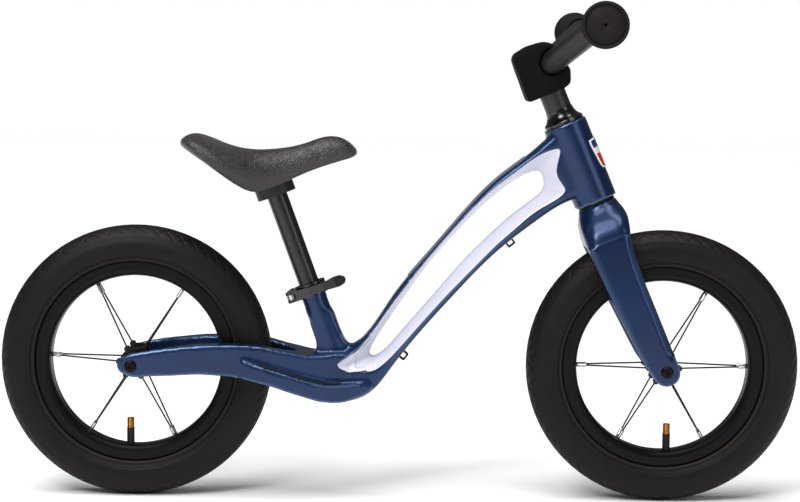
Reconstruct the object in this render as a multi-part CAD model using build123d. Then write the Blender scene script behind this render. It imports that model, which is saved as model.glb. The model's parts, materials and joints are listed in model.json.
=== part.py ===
from build123d import *
import math
import os

# Balance bike. Origin on the ground midway between the axles, on the centre plane.
# +X forward, +Y the rider's left, +Z up. Millimetres.

# ---------------------------------------------------------------- driving dimensions
wheelbase = 574.8
tyre_od = 297.0
tyre_section = 47.0
tyre_wall = 2.6
tyre_seam_angle = 33.0      # moulding seam, turned clear of the spokes and the valve
steer_angle = 22.8          # steering axis, from the vertical
seat_angle = 20.3           # seat tube axis, from the vertical

fit_gap = 0.05              # radial clearance of a running or seated fit
body_gap = 0.3              # clearance between pieces that move past each other
tyre_gap = 4.2              # from the tyre to the fork or the frame

# wheels
bead_seat_r = 101.5         # 203 mm bead seat
rim_flange_h = 7.0
rim_depth = 8.0             # from the bead seat in to the spoke face
rim_half_w = 14.5
rim_wall = 2.2
well_half_w = 7.8
tape_t = 0.8
spoke_pairs = 6
spoke_r = 0.9
nipple_r = 2.0
nipple_len = 11.0
nipple_spread = 3.0
boss_r = 3.25
boss_circle_r = 16.5
flange_y = 21.5
flange_w = 7.0
hub_barrel_r = 12.6
valve_r = 4.15
valve_tip_r = 3.85
valve_core_r = 2.7
valve_rubber_len = 18.0
valve_lean = 7.0            # foot of the valve, outward from straight below the axle
valve_tip_len = 11.0
tube_wall = 1.0
front_spoke_phase = 0.0
rear_spoke_phase = 57.0

# axles and bearings
dropout_half = 45.4         # inner faces of the dropouts
dropout_t = 9.0
axle_r = 5.0
axle_mid_r = 6.6
bolt_r = 2.95
bolt_head_r = 6.5
bolt_head_h = 3.6
bolt_socket_af = 4.0
bolt_len = 21.0
spacer_r = 7.4
bearing_od = 22.0
bearing_w = 6.0
bearing_pitch_r = 8.0
ball_r = 1.75
ball_count = 9
hub_half = 27.0

# fork and headset, measured along the steering axis from the front axle
crown_top = 191.3
head_bottom = 193.6
head_len = 92.2
head_tube_r = 23.75
head_bearing_r = 20.5
head_bearing_w = 7.0
head_pitch_r = 18.0
head_ball_r = 1.6
head_ball_count = 24
steerer_r = 14.3
steerer_wall = 1.6
steerer_seat = 168.0
steerer_top = 300.0
cap_height = 16.4
blade_t_front = 14.3        # front edge of a blade, ahead of the steering axis

# handlebar
bar_r = 12.7
grip_bar_r = 11.1
bar_half = 199.0
bar_s = 349.0
bar_t = 1.0
grip_t = 61.9
grip_s = 370.0
bend_in_y = 17.0
bend_out_y = 100.0
bend_r = 38.0
quill_len = 62.0
bar_wall = 2.0
grip_start = 109.0
grip_r = 15.2
grip_flange_r = 23.6
grip_flange_w = 9.5
grip_end_t = 3.0
grip_wall = 4.1
pad_half_w = 35.0

# frame
beam_half = 20.0
stay_slot_end = -109.0
seat_tube_r = 14.0
seat_tube_len = 112.0
seat_top_x = -99.2
seat_top_z = 234.9
post_r = 11.1
post_wall = 2.0
post_exposed = 102.0        # from the seat tube's top to the saddle's socket
post_inserted = 52.0
post_drop = 52.0            # bore left below the post, for lowering the saddle
strip_half_w = 13.0
strip_t = 1.0
strip_start = 0.16          # share of the beam's top line, from the head tube
strip_end = 0.68
footrest_pad_t = 1.6
footrest_pad_w = 7.0
window_lip_half = 4.0
corner_room = 0.45          # share of a side that the rounding of one corner may take
plan_corner_r = 70.0

# seat clamp
collar_h = 14.0
collar_r = 17.5
ear_reach = 27.3            # from the tube's axis to the back of the ears
ear_slot = 3.0
ear_half = 9.0
ear_h = 11.6
skewer_r = 2.5
skewer_back = 21.5          # skewer axis, behind the tube's axis
cam_r = 5.6
cam_offset = 0.4
cam_h = 12.0
eye_r = 4.3
eye_t = 5.0
pivot_r = 2.0
nut_r = 6.2
nut_len = 10.0
lever_t = 3.4

# saddle
saddle_half_w = 65.0
socket_r = 21.5
socket_len = 20.0
shell_t = 4.0

# ---------------------------------------------------------------- derived places
axle_z = tyre_od / 2
front_x = wheelbase / 2
rear_x = -wheelbase / 2
rim_in_r = bead_seat_r - rim_depth
rim_out_r = bead_seat_r + rim_flange_h
tyre_mid_r = axle_z - tyre_section / 2
dropout_out = dropout_half + dropout_t
head_top = head_bottom + head_len
slot_half = tyre_section / 2 + tyre_gap

steer_up = (-math.sin(math.radians(steer_angle)), 0, math.cos(math.radians(steer_angle)))
steer_fwd = (math.cos(math.radians(steer_angle)), 0, math.sin(math.radians(steer_angle)))
STEER = Plane(origin=(front_x, 0, axle_z), x_dir=steer_fwd, z_dir=steer_up)
seat_up = (-math.sin(math.radians(seat_angle)), 0, math.cos(math.radians(seat_angle)))
seat_fwd = (math.cos(math.radians(seat_angle)), 0, math.sin(math.radians(seat_angle)))
SEAT = Plane(origin=(seat_top_x, 0, seat_top_z), x_dir=seat_fwd, z_dir=seat_up)

BASE = (Align.CENTER, Align.CENTER, Align.MIN)
nodes = {}


# ---------------------------------------------------------------- small helpers
def put(plane, shape):
    """Move a shape modelled about a local plane into the bike's own frame."""
    return plane.location * shape


def tube(outer_r, inner_r, low, high):
    """A ring along local Z."""
    wall = Pos(0, 0, low) * Cylinder(outer_r, high - low, align=BASE)
    return wall - Pos(0, 0, low - 1) * Cylinder(inner_r, high - low + 2, align=BASE)


def lathe_z(points):
    """Turn a closed outline of (radius, height) about local Z."""
    outline = Polyline([(r, 0, h) for r, h in points], close=True)
    return revolve(make_face(outline), Axis.Z)


def lathe_y(points):
    """Turn a closed outline of (radius, y) about local Y."""
    outline = Polyline([(r, y, 0) for r, y in points], close=True)
    return revolve(make_face(outline), Axis.Y)


def mirror_y(shape):
    return mirror(shape, about=Plane.XZ)


def cylinder_between(start, end, radius):
    a = Vector(*start)
    b = Vector(*end)
    plane = Plane(origin=a, z_dir=b - a)
    return plane.location * Cylinder(radius, (b - a).length, align=BASE)


def closed_face(curves):
    """A flat face from curves that close."""
    return make_face([edge for curve in curves for edge in curve.edges()])


def spline_xz(points):
    return Spline(*[(x, 0, z) for x, z in points])


def line_xz(a, b):
    return Line((a[0], 0, a[1]), (b[0], 0, b[1]))


def slab(face, half):
    """A side face thickened equally to both sides of the centre plane."""
    return extrude(face, half, dir=(0, 1, 0), both=True)


def hex_socket(across_flats, depth):
    return extrude(RegularPolygon(across_flats / 2, 6, major_radius=False), depth)


def group(shapes):
    return Compound([solid for shape in shapes for solid in shape.solids()])


# ---------------------------------------------------------------- wheels
def spoke_line(side, angle):
    """Ends of a spoke's centre line, from its hub boss to the rim."""
    c = math.cos(math.radians(angle))
    s = math.sin(math.radians(angle))
    hub = (boss_circle_r * c, side * flange_y, boss_circle_r * s)
    rim = (rim_in_r * c, side * nipple_spread, rim_in_r * s)
    return Vector(*hub), Vector(*rim)


def spoke_set(phase):
    return [(side, phase + 360 / spoke_pairs * i) for i in range(spoke_pairs) for side in (-1, 1)]


def make_hub(phase):
    barrel = lathe_y([
        (0, -hub_half), (bearing_od / 2 + 2.0, -hub_half), (bearing_od / 2 + 2.0, hub_half), (0, hub_half),
    ])
    hub = barrel
    for side in (-1, 1):
        disc = Pos(0, side * flange_y, 0) * Rot(90, 0, 0) * Cylinder(boss_circle_r - 1, flange_w - 2)
        hub += disc
    for side, angle in spoke_set(phase):
        c = math.cos(math.radians(angle))
        s = math.sin(math.radians(angle))
        place = Pos(boss_circle_r * c, side * flange_y, boss_circle_r * s)
        hub += place * Rot(90, 0, 0) * Cylinder(boss_r, flange_w)
    waist = lathe_y([
        (hub_barrel_r, -flange_y + flange_w), (hub_barrel_r + 6, -flange_y + flange_w),
        (hub_barrel_r + 6, flange_y - flange_w), (hub_barrel_r, flange_y - flange_w),
    ])
    hub -= waist
    through = Rot(90, 0, 0) * Cylinder(bearing_od / 2 - 2, 2 * hub_half + 2)
    hub -= through
    for side in (-1, 1):
        seat = Pos(0, side * (hub_half - bearing_w / 2), 0) * Rot(90, 0, 0)
        hub -= seat * Cylinder(bearing_od / 2, bearing_w + 0.001)
    for side, angle in spoke_set(phase):
        a, b = spoke_line(side, angle)
        along = (b - a).normalized()
        hub -= cylinder_between(a - along * (boss_r - 1), a + along * 8, spoke_r + fit_gap)
    return hub


def make_rim(phase, valve_x):
    half = [
        (rim_in_r, 0), (rim_in_r, 8.2), (rim_in_r + 1.1, 11.2), (rim_in_r + 3.4, 13.6),
        (rim_in_r + 6.6, rim_half_w), (rim_out_r, rim_half_w), (rim_out_r, rim_half_w - rim_wall),
        (bead_seat_r, rim_half_w - rim_wall), (bead_seat_r, well_half_w + 1), (rim_in_r + rim_wall, well_half_w),
    ]
    outline = half + [(r, -y) for r, y in reversed(half[1:])]
    rim = lathe_y(outline)
    for side, angle in spoke_set(phase):
        a, b = spoke_line(side, angle)
        along = (b - a).normalized()
        rim -= cylinder_between(b - along * 3, b + along * 6, nipple_r + fit_gap)
    rim -= Pos(valve_x, 0, -rim_in_r) * Cylinder(valve_r + 0.3, 16)
    return rim


def make_rim_tape(valve_x):
    low = rim_in_r + rim_wall + 2.3
    tape = lathe_y([
        (low, -well_half_w + 0.6), (low + tape_t, -well_half_w + 0.6),
        (low + tape_t, well_half_w - 0.6), (low, well_half_w - 0.6),
    ])
    return tape - Pos(valve_x, 0, -low) * Cylinder(valve_r + 0.3, 8)


def make_spokes(phase):
    spokes = []
    for side, angle in spoke_set(phase):
        a, b = spoke_line(side, angle)
        along = (b - a).normalized()
        spokes.append(cylinder_between(a - along * (boss_r - 1.2), b + along * 1.5, spoke_r))
    return group(spokes)


def make_nipples(phase):
    nipples = []
    for side, angle in spoke_set(phase):
        a, b = spoke_line(side, angle)
        along = (b - a).normalized()
        body = cylinder_between(b - along * nipple_len, b + along * 2.4, nipple_r)
        head = cylinder_between(b + along * 3.0, b + along * 3.8, nipple_r + 0.9)
        neck = cylinder_between(b + along * 2.3, b + along * 3.1, nipple_r)
        bore = cylinder_between(b - along * (nipple_len + 1), b + along * 1.6, spoke_r + fit_gap)
        nipples.append(body + neck + head - bore)
    return group(nipples)


def tyre_section_face():
    """C-shaped tyre section in the plane z = 0, with a bead inside each rim flange."""
    outer_r = tyre_section / 2
    inner_r = outer_r - tyre_wall
    lip_r = max(rim_out_r + 0.6, tyre_mid_r - outer_r + 1.5)
    neck_r = rim_out_r + 4.0
    lip_y = math.sqrt(outer_r ** 2 - (tyre_mid_r - lip_r) ** 2)
    neck_y = math.sqrt(inner_r ** 2 - (tyre_mid_r - neck_r) ** 2)
    bead_y = rim_half_w - rim_wall
    toe_y = bead_y - 3.2
    toe_r = bead_seat_r
    crown = ThreePointArc((lip_r, lip_y), (tyre_mid_r + outer_r, 0), (lip_r, -lip_y))
    cavity = ThreePointArc((neck_r, -neck_y), (tyre_mid_r + inner_r, 0), (neck_r, neck_y))
    seat_r = lip_r - 0.5
    left = Polyline((lip_r, -lip_y), (seat_r, -bead_y), (toe_r, -bead_y), (toe_r, -toe_y), (neck_r, -neck_y))
    right = Polyline((neck_r, neck_y), (toe_r, toe_y), (toe_r, bead_y), (seat_r, bead_y), (lip_r, lip_y))
    return closed_face([crown, left, cavity, right])


def make_tyre():
    return Rot(0, tyre_seam_angle, 0) * revolve(tyre_section_face(), Axis.Y)


def make_inner_tube(valve_x):
    mid = tyre_mid_r + 1.0
    section = Pos(mid, 0) * Circle(19.0) - Pos(mid, 0) * Circle(19.0 - tube_wall)
    ring = revolve(section, Axis.Y)
    top = mid - 19.0 + tube_wall / 2
    bottom = rim_in_r - valve_rubber_len
    stem = Pos(valve_x, 0, -top) * Cylinder(valve_r, top - bottom, align=BASE)
    bore = Pos(valve_x, 0, -top - 6) * Cylinder(valve_core_r + fit_gap, top - bottom + 12, align=BASE)
    return ring + stem - bore


def make_valve():
    bottom = rim_in_r - valve_rubber_len
    core = Pos(0, 0, -bead_seat_r - 1) * Cylinder(valve_core_r, bead_seat_r + 1 - bottom, align=BASE)
    tip = Pos(0, 0, -bottom) * Cylinder(valve_tip_r, valve_tip_len, align=BASE)
    tip = chamfer(tip.edges().sort_by(Axis.Z)[-1], 0.5)
    mouth = Pos(0, 0, -bottom + valve_tip_len - 6) * Cylinder(1.7, 7, align=BASE)
    pin = Pos(0, 0, -bottom + valve_tip_len - 6) * Cylinder(0.6, 5, align=BASE)
    return core + tip - mouth + pin


def groove(pitch_r, radius, y):
    return Pos(0, y, 0) * Rot(90, 0, 0) * Torus(pitch_r, radius)


def bearing_rings(outer):
    rings = []
    for side in (-1, 1):
        mid = side * (hub_half - bearing_w / 2)
        low = mid - bearing_w / 2
        high = mid + bearing_w / 2
        if outer:
            r1, r0 = bearing_od / 2, bearing_pitch_r + 0.9
        else:
            r1, r0 = bearing_pitch_r - 0.9, axle_r
        ring = lathe_y([(r0, low), (r1, low), (r1, high), (r0, high)])
        rings.append(ring - groove(bearing_pitch_r, ball_r + fit_gap, mid))
    return group(rings)


def bearing_balls():
    balls = []
    for side in (-1, 1):
        for i in range(ball_count):
            a = 2 * math.pi * i / ball_count
            centre = (bearing_pitch_r * math.cos(a), side * (hub_half - bearing_w / 2), bearing_pitch_r * math.sin(a))
            balls.append(Pos(*centre) * Sphere(ball_r))
    return group(balls)


def make_axle():
    axle = Rot(90, 0, 0) * Cylinder(axle_r, 2 * dropout_half)
    axle += Rot(90, 0, 0) * Cylinder(axle_mid_r, 2 * (hub_half - bearing_w))
    for side in (-1, 1):
        depth = bolt_len - dropout_t + 2
        axle -= Pos(0, side * (dropout_half - depth / 2), 0) * Rot(90, 0, 0) * Cylinder(bolt_r, depth + 0.001)
    return axle


def make_axle_bolt(side):
    """A button-head bolt along local Z, then laid against the dropout's outer face."""
    shank = Pos(0, 0, -bolt_len) * Cylinder(bolt_r - 0.02, bolt_len, align=BASE)
    head = Cylinder(bolt_head_r, bolt_head_h, align=BASE)
    head = fillet(head.edges().sort_by(Axis.Z)[-1], 2.6)
    head -= Pos(0, 0, bolt_head_h - 2.2) * hex_socket(bolt_socket_af, 3)
    return Pos(0, side * dropout_out, 0) * Rot(-90 * side, 0, 0) * (head + shank)


def make_axle_spacers():
    spacers = []
    for side in (-1, 1):
        low, high = sorted((side * hub_half, side * dropout_half))
        spacers.append(lathe_y([
            (axle_r, low), (spacer_r, low), (spacer_r, high), (axle_r, high),
        ]))
    return group(spacers)


def add_wheel(name, x, phase, valve_x):
    place = Pos(x, 0, axle_z)
    nodes[name + "_hub"] = place * make_hub(phase)
    nodes[name + "_bearing_outer_rings"] = place * bearing_rings(True)
    nodes[name + "_bearing_balls"] = place * bearing_balls()
    nodes[name + "_bearing_inner_rings"] = place * bearing_rings(False)
    nodes[name + "_rim"] = place * make_rim(phase, valve_x)
    nodes[name + "_rim_tape"] = place * make_rim_tape(valve_x)
    nodes[name + "_spokes"] = place * make_spokes(phase)
    nodes[name + "_spoke_nipples"] = place * make_nipples(phase)
    nodes[name + "_inner_tube"] = place * make_inner_tube(valve_x)
    nodes[name + "_valve"] = place * Pos(valve_x, 0, 0) * make_valve()
    nodes[name + "_tyre"] = place * make_tyre()
    nodes[name + "_axle"] = place * make_axle()
    nodes[name + "_axle_bolts"] = place * group([make_axle_bolt(-1), make_axle_bolt(1)])
    nodes[name + "_axle_spacers"] = place * make_axle_spacers()


# ---------------------------------------------------------------- fork and headset
def rounded_section(s, t_back, t_front, y_in, y_out, corner):
    """A rounded rectangle across the steering axis at height s."""
    mid = Plane(origin=((t_back + t_front) / 2, (y_in + y_out) / 2, s))
    return mid * RectangleRounded(t_front - t_back, y_out - y_in, corner)


def make_fork_crown():
    sections = [
        rounded_section(crown_top, -21.0, 21.0, -21.0, 21.0, 20.8),
        rounded_section(crown_top - 8, -24.0, 23.0, -25.0, 25.0, 19.0),
        rounded_section(crown_top - 17, -27.0, 25.0, -35.0, 35.0, 17.0),
        rounded_section(crown_top - 29, -28.6, 23.4, -43.5, 43.5, 14.0),
        rounded_section(crown_top - 43, -29.4, 19.0, -47.0, 47.0, 10.0),
    ]
    return loft(sections)


def make_fork_blade():
    top = crown_top - 43
    inner = slot_half
    sections = [
        rounded_section(top + 4, -29.3, 19.4, -47.2, -inner, 6.0),
        rounded_section(top - 20, -28.4, 15.6, -48.6, -inner - 1.5, 5.5),
        rounded_section(top - 52, -26.9, blade_t_front, -50.4, -inner - 5.0, 5.0),
        rounded_section(top - 84, -24.0, blade_t_front, -52.2, -inner - 10.5, 4.0),
        rounded_section(top - 112, -21.4, blade_t_front, -53.6, -dropout_half + 2.2, 3.2),
        rounded_section(12.0, -18.6, blade_t_front, -dropout_out, -dropout_half, 2.4),
    ]
    return loft(sections)


def dropout_plate(t_back, t_front, tip):
    """The flat end of a blade around the axle, with a round tip."""
    top = 14.0
    curves = [
        Line((t_back, top), (t_front, top)),
        Line((t_front, top), (t_front, 0)),
        ThreePointArc((t_front, 0), (-0.4, -tip), (t_back + 3.2, -2.0)),
        Line((t_back + 3.2, -2.0), (t_back, top)),
    ]
    face = Plane(origin=(0, -dropout_half, 0), x_dir=(1, 0, 0), z_dir=(0, -1, 0)) * closed_face(curves)
    plate = extrude(face, dropout_t, dir=(0, -1, 0))
    return plate


def make_fork():
    fork = make_fork_crown()
    blade = make_fork_blade() + dropout_plate(-18.6, blade_t_front, 15.6)
    blade -= Pos(0, -dropout_half, 0) * Rot(90, 0, 0) * Cylinder(bolt_r + 0.2, 4 * dropout_t)
    fork += blade
    fork += mirror_y(blade)
    wheel_room = Rot(90, 0, 0) * Cylinder(tyre_od / 2 + tyre_gap + 1.0, 2 * slot_half)
    fork -= wheel_room
    fork -= Pos(0, 0, steerer_seat) * Cylinder(steerer_r, 60, align=BASE)
    return put(STEER, fork)


def make_steerer():
    return put(STEER, tube(steerer_r, steerer_r - steerer_wall, steerer_seat, steerer_top))


def head_bearing_mids():
    return [head_bottom + head_bearing_w / 2, head_top - head_bearing_w / 2]


def head_bearing_part(inner_radius, outer_radius):
    rings = []
    for mid in head_bearing_mids():
        ring = tube(outer_radius, inner_radius, mid - head_bearing_w / 2, mid + head_bearing_w / 2)
        rings.append(ring - Pos(0, 0, mid) * Torus(head_pitch_r, head_ball_r + fit_gap))
    return put(STEER, group(rings))


def head_bearing_balls():
    balls = []
    for mid in head_bearing_mids():
        for i in range(head_ball_count):
            a = 2 * math.pi * i / head_ball_count
            balls.append(Pos(head_pitch_r * math.cos(a), head_pitch_r * math.sin(a), mid) * Sphere(head_ball_r))
    return put(STEER, group(balls))


def make_crown_race():
    lip = tube(head_bearing_r, steerer_r, crown_top, head_bottom - body_gap)
    seat = tube(head_pitch_r - 1, steerer_r, crown_top, head_bottom)
    return put(STEER, lip + seat)


def make_headset_cap():
    low = head_top + body_gap
    cap = lathe_z([
        (steerer_r, head_top), (head_pitch_r - 1, head_top), (head_pitch_r - 1, low), (21.7, low),
        (21.7, low + 2.4), (21.0, low + 3.6), (19.0, low + 5.2), (17.3, low + 7.4), (16.0, low + 10.2),
        (15.2, low + 13.0), (14.9, low + cap_height - 0.3), (steerer_r, low + cap_height - 0.3),
    ])
    return put(STEER, cap)


# ---------------------------------------------------------------- handlebar
def bar_path(side):
    """Centre line of half the bar, from the middle out to its end."""
    points = [
        (bar_t, 0, bar_s), (bar_t, side * bend_in_y, bar_s),
        (grip_t, side * bend_out_y, grip_s), (grip_t, side * bar_half, grip_s),
    ]
    return FilletPolyline(*points, radius=[bend_r, bend_r])


def bar_half_solid(side, radius, reach):
    """A rod along half the bar's centre line, from the middle to the given y."""
    path = bar_path(side)
    section = Plane(origin=path @ 0, z_dir=(0, side, 0)) * Circle(radius)
    rod = sweep(section, path=path)
    beyond = Pos(grip_t, side * (reach + 100), grip_s) * Box(80, 200, 80)
    return rod - beyond


def make_handlebar():
    bar = Part()
    for side in (-1, 1):
        bar += bar_half_solid(side, bar_r, grip_start - 2)
        grip_tube = Pos(grip_t, side * (grip_start - 2), grip_s) * Rot(-90 * side, 0, 0)
        bar += grip_tube * Cylinder(grip_bar_r, bar_half - grip_start + 2, align=BASE)
    post_low = steerer_top + 2.5
    post = Pos(0, 0, post_low) * Cylinder(steerer_r, bar_s - post_low, align=BASE)
    quill_r = steerer_r - steerer_wall - fit_gap
    quill = Pos(0, 0, post_low - quill_len) * Cylinder(quill_r, quill_len, align=BASE)
    bar += post + quill
    bore = Pos(0, 0, post_low - quill_len - 1) * Cylinder(quill_r - 3.2, quill_len + 40, align=BASE)
    bar -= bore
    bar -= Pos(0, 0, bar_s - 12) * Cylinder(4.3, 40, align=BASE)
    bar -= Pos(0, 0, bar_s + bar_r - 0.4) * Cylinder(9.0, 12, align=BASE)
    for side in (-1, 1):
        inside = Pos(grip_t, side * (grip_start + 6), grip_s) * Rot(-90 * side, 0, 0)
        bar -= inside * Cylinder(grip_bar_r - bar_wall, 200, align=BASE)
    return put(STEER, max(bar.solids(), key=lambda piece: piece.volume))


def make_expander_bolt():
    head_at = bar_s + bar_r - 0.4
    low = steerer_top + 2.5 - quill_len - 18
    bolt = Pos(0, 0, low) * Cylinder(4.0, head_at - low, align=BASE)
    head = Pos(0, 0, head_at) * Cylinder(6.5, 7.0, align=BASE)
    head -= Pos(0, 0, head_at + 3.6) * hex_socket(6.0, 5)
    return put(STEER, bolt + head)


def make_expander_wedge():
    high = steerer_top + 2.5 - quill_len
    radius = steerer_r - steerer_wall - fit_gap
    wedge = Pos(0, 0, high - 24) * Cylinder(radius, 24, align=BASE)
    wedge = chamfer(wedge.edges().sort_by(Axis.Z)[-1], 2.0)
    wedge -= Pos(0, 0, high - 25) * Cylinder(4.0 + fit_gap, 30, align=BASE)
    return put(STEER, wedge)


def make_grip(side):
    length = bar_half + grip_end_t - grip_start
    body = Cylinder(grip_r, length, align=BASE)
    collar = Cylinder(grip_r + 2.2, 4.0, align=BASE)
    flange = Pos(0, 0, length - grip_flange_w) * Cylinder(grip_flange_r, grip_flange_w, align=BASE)
    flange = fillet(flange.edges().filter_by(GeomType.CIRCLE), 2.2)
    grip = body + collar + flange
    for i in range(9):
        low = 12 + i * 6.5
        grip -= tube(grip_r + 1, grip_r - 0.7, low, low + 2.2)
    grip -= Pos(0, 0, length - 0.9) * Cylinder(grip_flange_r - 3.4, 2, align=BASE)
    grip -= Pos(0, 0, -1) * Cylinder(grip_bar_r, bar_half - grip_start + 1, align=BASE)
    grip -= Pos(0, 0, -1) * Cylinder(2.0, length + 2, align=BASE)
    return put(STEER, Pos(grip_t, side * grip_start, grip_s) * Rot(-90 * side, 0, 0) * grip)


def make_stem_pad():
    """Foam pad wrapped round the joint of the bar and its post."""
    outline = [
        (-29.5, 321.0), (-28.0, 371.0), (-23.0, 376.5), (-8.0, 379.0), (10.0, 377.5),
        (19.0, 371.0), (22.5, 350.0), (25.0, 338.0), (20.0, 325.0), (4.0, 321.0),
    ]
    face = closed_face([Polyline([(t, 0, s) for t, s in outline], close=True)])
    pad = slab(face, pad_half_w)
    pad = fillet(pad.edges().filter_by(Axis.Y), 3.5)
    pad = fillet(pad.faces().filter_by(Axis.Y).edges(), 3.0)
    room = body_gap
    for side in (-1, 1):
        pad -= bar_half_solid(side, bar_r + room, 90)
    pad -= Pos(0, 0, 300) * Cylinder(steerer_r + room, bar_s - 300, align=BASE)
    pad -= Pos(0, 0, bar_s) * Cylinder(6.5 + 2.5, bar_r + 9, align=BASE)
    return put(STEER, pad)


# ---------------------------------------------------------------- frame
beam_top = [
    (178.0, 411.0), (157.0, 394.0), (143.4, 381.6), (107.1, 353.2), (68.9, 314.0), (30.7, 268.8),
    (-7.7, 221.5), (-34.5, 182.0), (-62.0, 158.0),
]
beam_bottom = [
    (-57.0, 106.5), (-28.1, 119.1), (-8.8, 143.0), (22.0, 182.6), (60.4, 226.2), (106.3, 273.6),
    (148.4, 307.1), (181.0, 327.8), (206.0, 334.0),
]
window_edge = [
    (168.2, 384.6), (144.8, 374.3), (120.1, 355.8), (97.3, 338.2), (74.5, 314.8), (51.7, 289.4),
    (28.8, 262.0), (5.9, 232.5), (-11.3, 209.0), (-29.0, 183.0), (-45.0, 162.5), (-66.0, 149.0),
    (-54.0, 139.8), (-26.2, 143.3), (0.8, 168.1), (33.3, 205.6), (60.1, 235.1), (84.9, 260.6),
    (105.8, 282.2), (128.6, 302.8), (151.5, 321.4), (177.0, 339.0), (167.4, 360.0),
]
window_lip = [
    (147.5, 360.4), (131.8, 354.8), (112.7, 342.1), (89.9, 322.5), (67.0, 299.1), (44.1, 273.6),
    (21.3, 244.2), (2.2, 216.7), (-12.0, 195.5), (-23.0, 178.5), (-30.5, 165.0), (-32.0, 157.5),
    (-27.0, 155.8), (-15.0, 164.0), (2.0, 183.5), (25.0, 210.5), (46.0, 235.0), (66.0, 258.5),
    (84.0, 277.5), (104.0, 297.0), (124.7, 315.2), (149.5, 334.5), (155.2, 348.0),
]
yoke_profile = [
    (-20.0, 150.0), (-60.0, 160.5), (-95.0, 158.5), (-125.0, 164.5), (-150.0, 170.5), (-185.0, 172.2),
    (-220.0, 171.0), (-262.0, 166.2), (-287.4, 161.8), (-300.0, 156.4), (-304.2, 149.0), (-300.6, 142.0),
    (-287.4, 136.0), (-255.0, 138.0), (-213.0, 139.8), (-180.0, 137.6), (-138.0, 127.8), (-108.0, 117.6),
    (-84.0, 109.2), (-57.4, 106.6), (-30.0, 117.0),
]
ledge_profile = [
    (-174.0, 157.0), (-150.0, 150.4), (-122.5, 141.6), (-99.9, 134.3), (-82.0, 129.2), (-60.0, 127.4),
    (-34.0, 128.6), (-24.0, 122.0), (-57.4, 106.6), (-84.0, 109.2), (-108.0, 117.6), (-138.0, 127.8),
    (-174.0, 137.0),
]
yoke_plan = [
    (-310.0, 54.4), (-262.0, 54.4), (-215.0, 53.0), (-175.0, 50.0), (-140.0, 44.5), (-105.0, 36.0),
    (-70.0, 25.5), (-45.0, 20.6), (-15.0, 19.0),
]
ledge_plan = [
    (-176.0, 50.0), (-150.0, 53.5), (-118.0, 52.0), (-88.0, 44.5), (-62.0, 33.0), (-40.0, 23.5), (-20.0, 19.0),
]
slot_plan = [
    (-320.0, 45.4), (-266.0, 45.4), (-246.0, 37.0), (-222.0, 32.0), (-190.0, 29.5), (-160.0, 28.2),
    (-136.0, 26.0), (-118.0, 17.0), (-109.0, 0.0),
]
web_profile = [
    (-101.0, 201.0), (-90.6, 172.4), (-89.6, 163.5), (-96.0, 156.0), (-96.0, 140.0), (-40.0, 140.0),
    (-42.0, 174.5), (-49.0, 168.6), (-54.5, 167.2), (-59.6, 173.6), (-66.5, 190.0), (-74.5, 213.0),
]


def turn_at(points, i):
    """How far an outline turns at one of its points, in degrees."""
    back = Vector(*points[i - 1]) - Vector(*points[i])
    on = Vector(*points[(i + 1) % len(points)]) - Vector(*points[i])
    return 180 - back.get_angle(on)


def soft_outline(points, radius):
    """A closed outline whose corners are rounded as far as their sides leave room."""
    corners = [point for i, point in enumerate(points) if turn_at(points, i) > 0.5]
    radii = []
    for i, corner in enumerate(corners):
        back = (Vector(*corners[i - 1]) - Vector(*corner)).length
        on = (Vector(*corners[(i + 1) % len(corners)]) - Vector(*corner)).length
        half_turn = math.radians(turn_at(corners, i) / 2)
        radii.append(min(radius, corner_room * min(back, on) / math.tan(half_turn)))
    return FilletPolyline(*corners, radius=radii, close=True)


def profile_slab(points, half, radius=60.0):
    return slab(closed_face([soft_outline([(x, 0, z) for x, z in points], radius)]), half)


def plan_column(right_side, low=90, height=110):
    """An upright column whose plan is a half outline and its mirror image."""
    other_side = [(x, -y) for x, y in reversed(right_side) if y > 0]
    face = closed_face([soft_outline(right_side + other_side, plan_corner_r)])
    return Pos(0, 0, low) * extrude(face, height)


def beam_face():
    top = spline_xz(beam_top)
    bottom = spline_xz(beam_bottom)
    tail = line_xz(beam_top[-1], beam_bottom[0])
    nose = line_xz(beam_bottom[-1], beam_top[0])
    return closed_face([top, tail, bottom, nose])


def make_beam():
    beam = slab(beam_face(), beam_half)
    long_edges = [e for e in beam.edges() if abs(abs(e.center().Y) - beam_half) < 0.01 and e.length > 150]
    return fillet(long_edges, 7.0)


def ring_spline(points, y):
    """A closed curve at one depth, with its points spaced evenly along its parameter."""
    shares = [i / len(points) for i in range(len(points) + 1)]
    return Edge.make_spline([Vector(x, y, z) for x, z in points], periodic=True, parameters=shares)


def make_window():
    """The opening through the beam: wide at each side face, narrow at the middle."""
    cut = slab(make_face(ring_spline(window_lip, 0)), beam_half + 5)
    for side in (-1, 1):
        near = make_face(ring_spline(window_lip, side * window_lip_half))
        far = make_face(ring_spline(window_edge, side * beam_half))
        cut += loft([near, far], ruled=True)
    return cut


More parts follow.
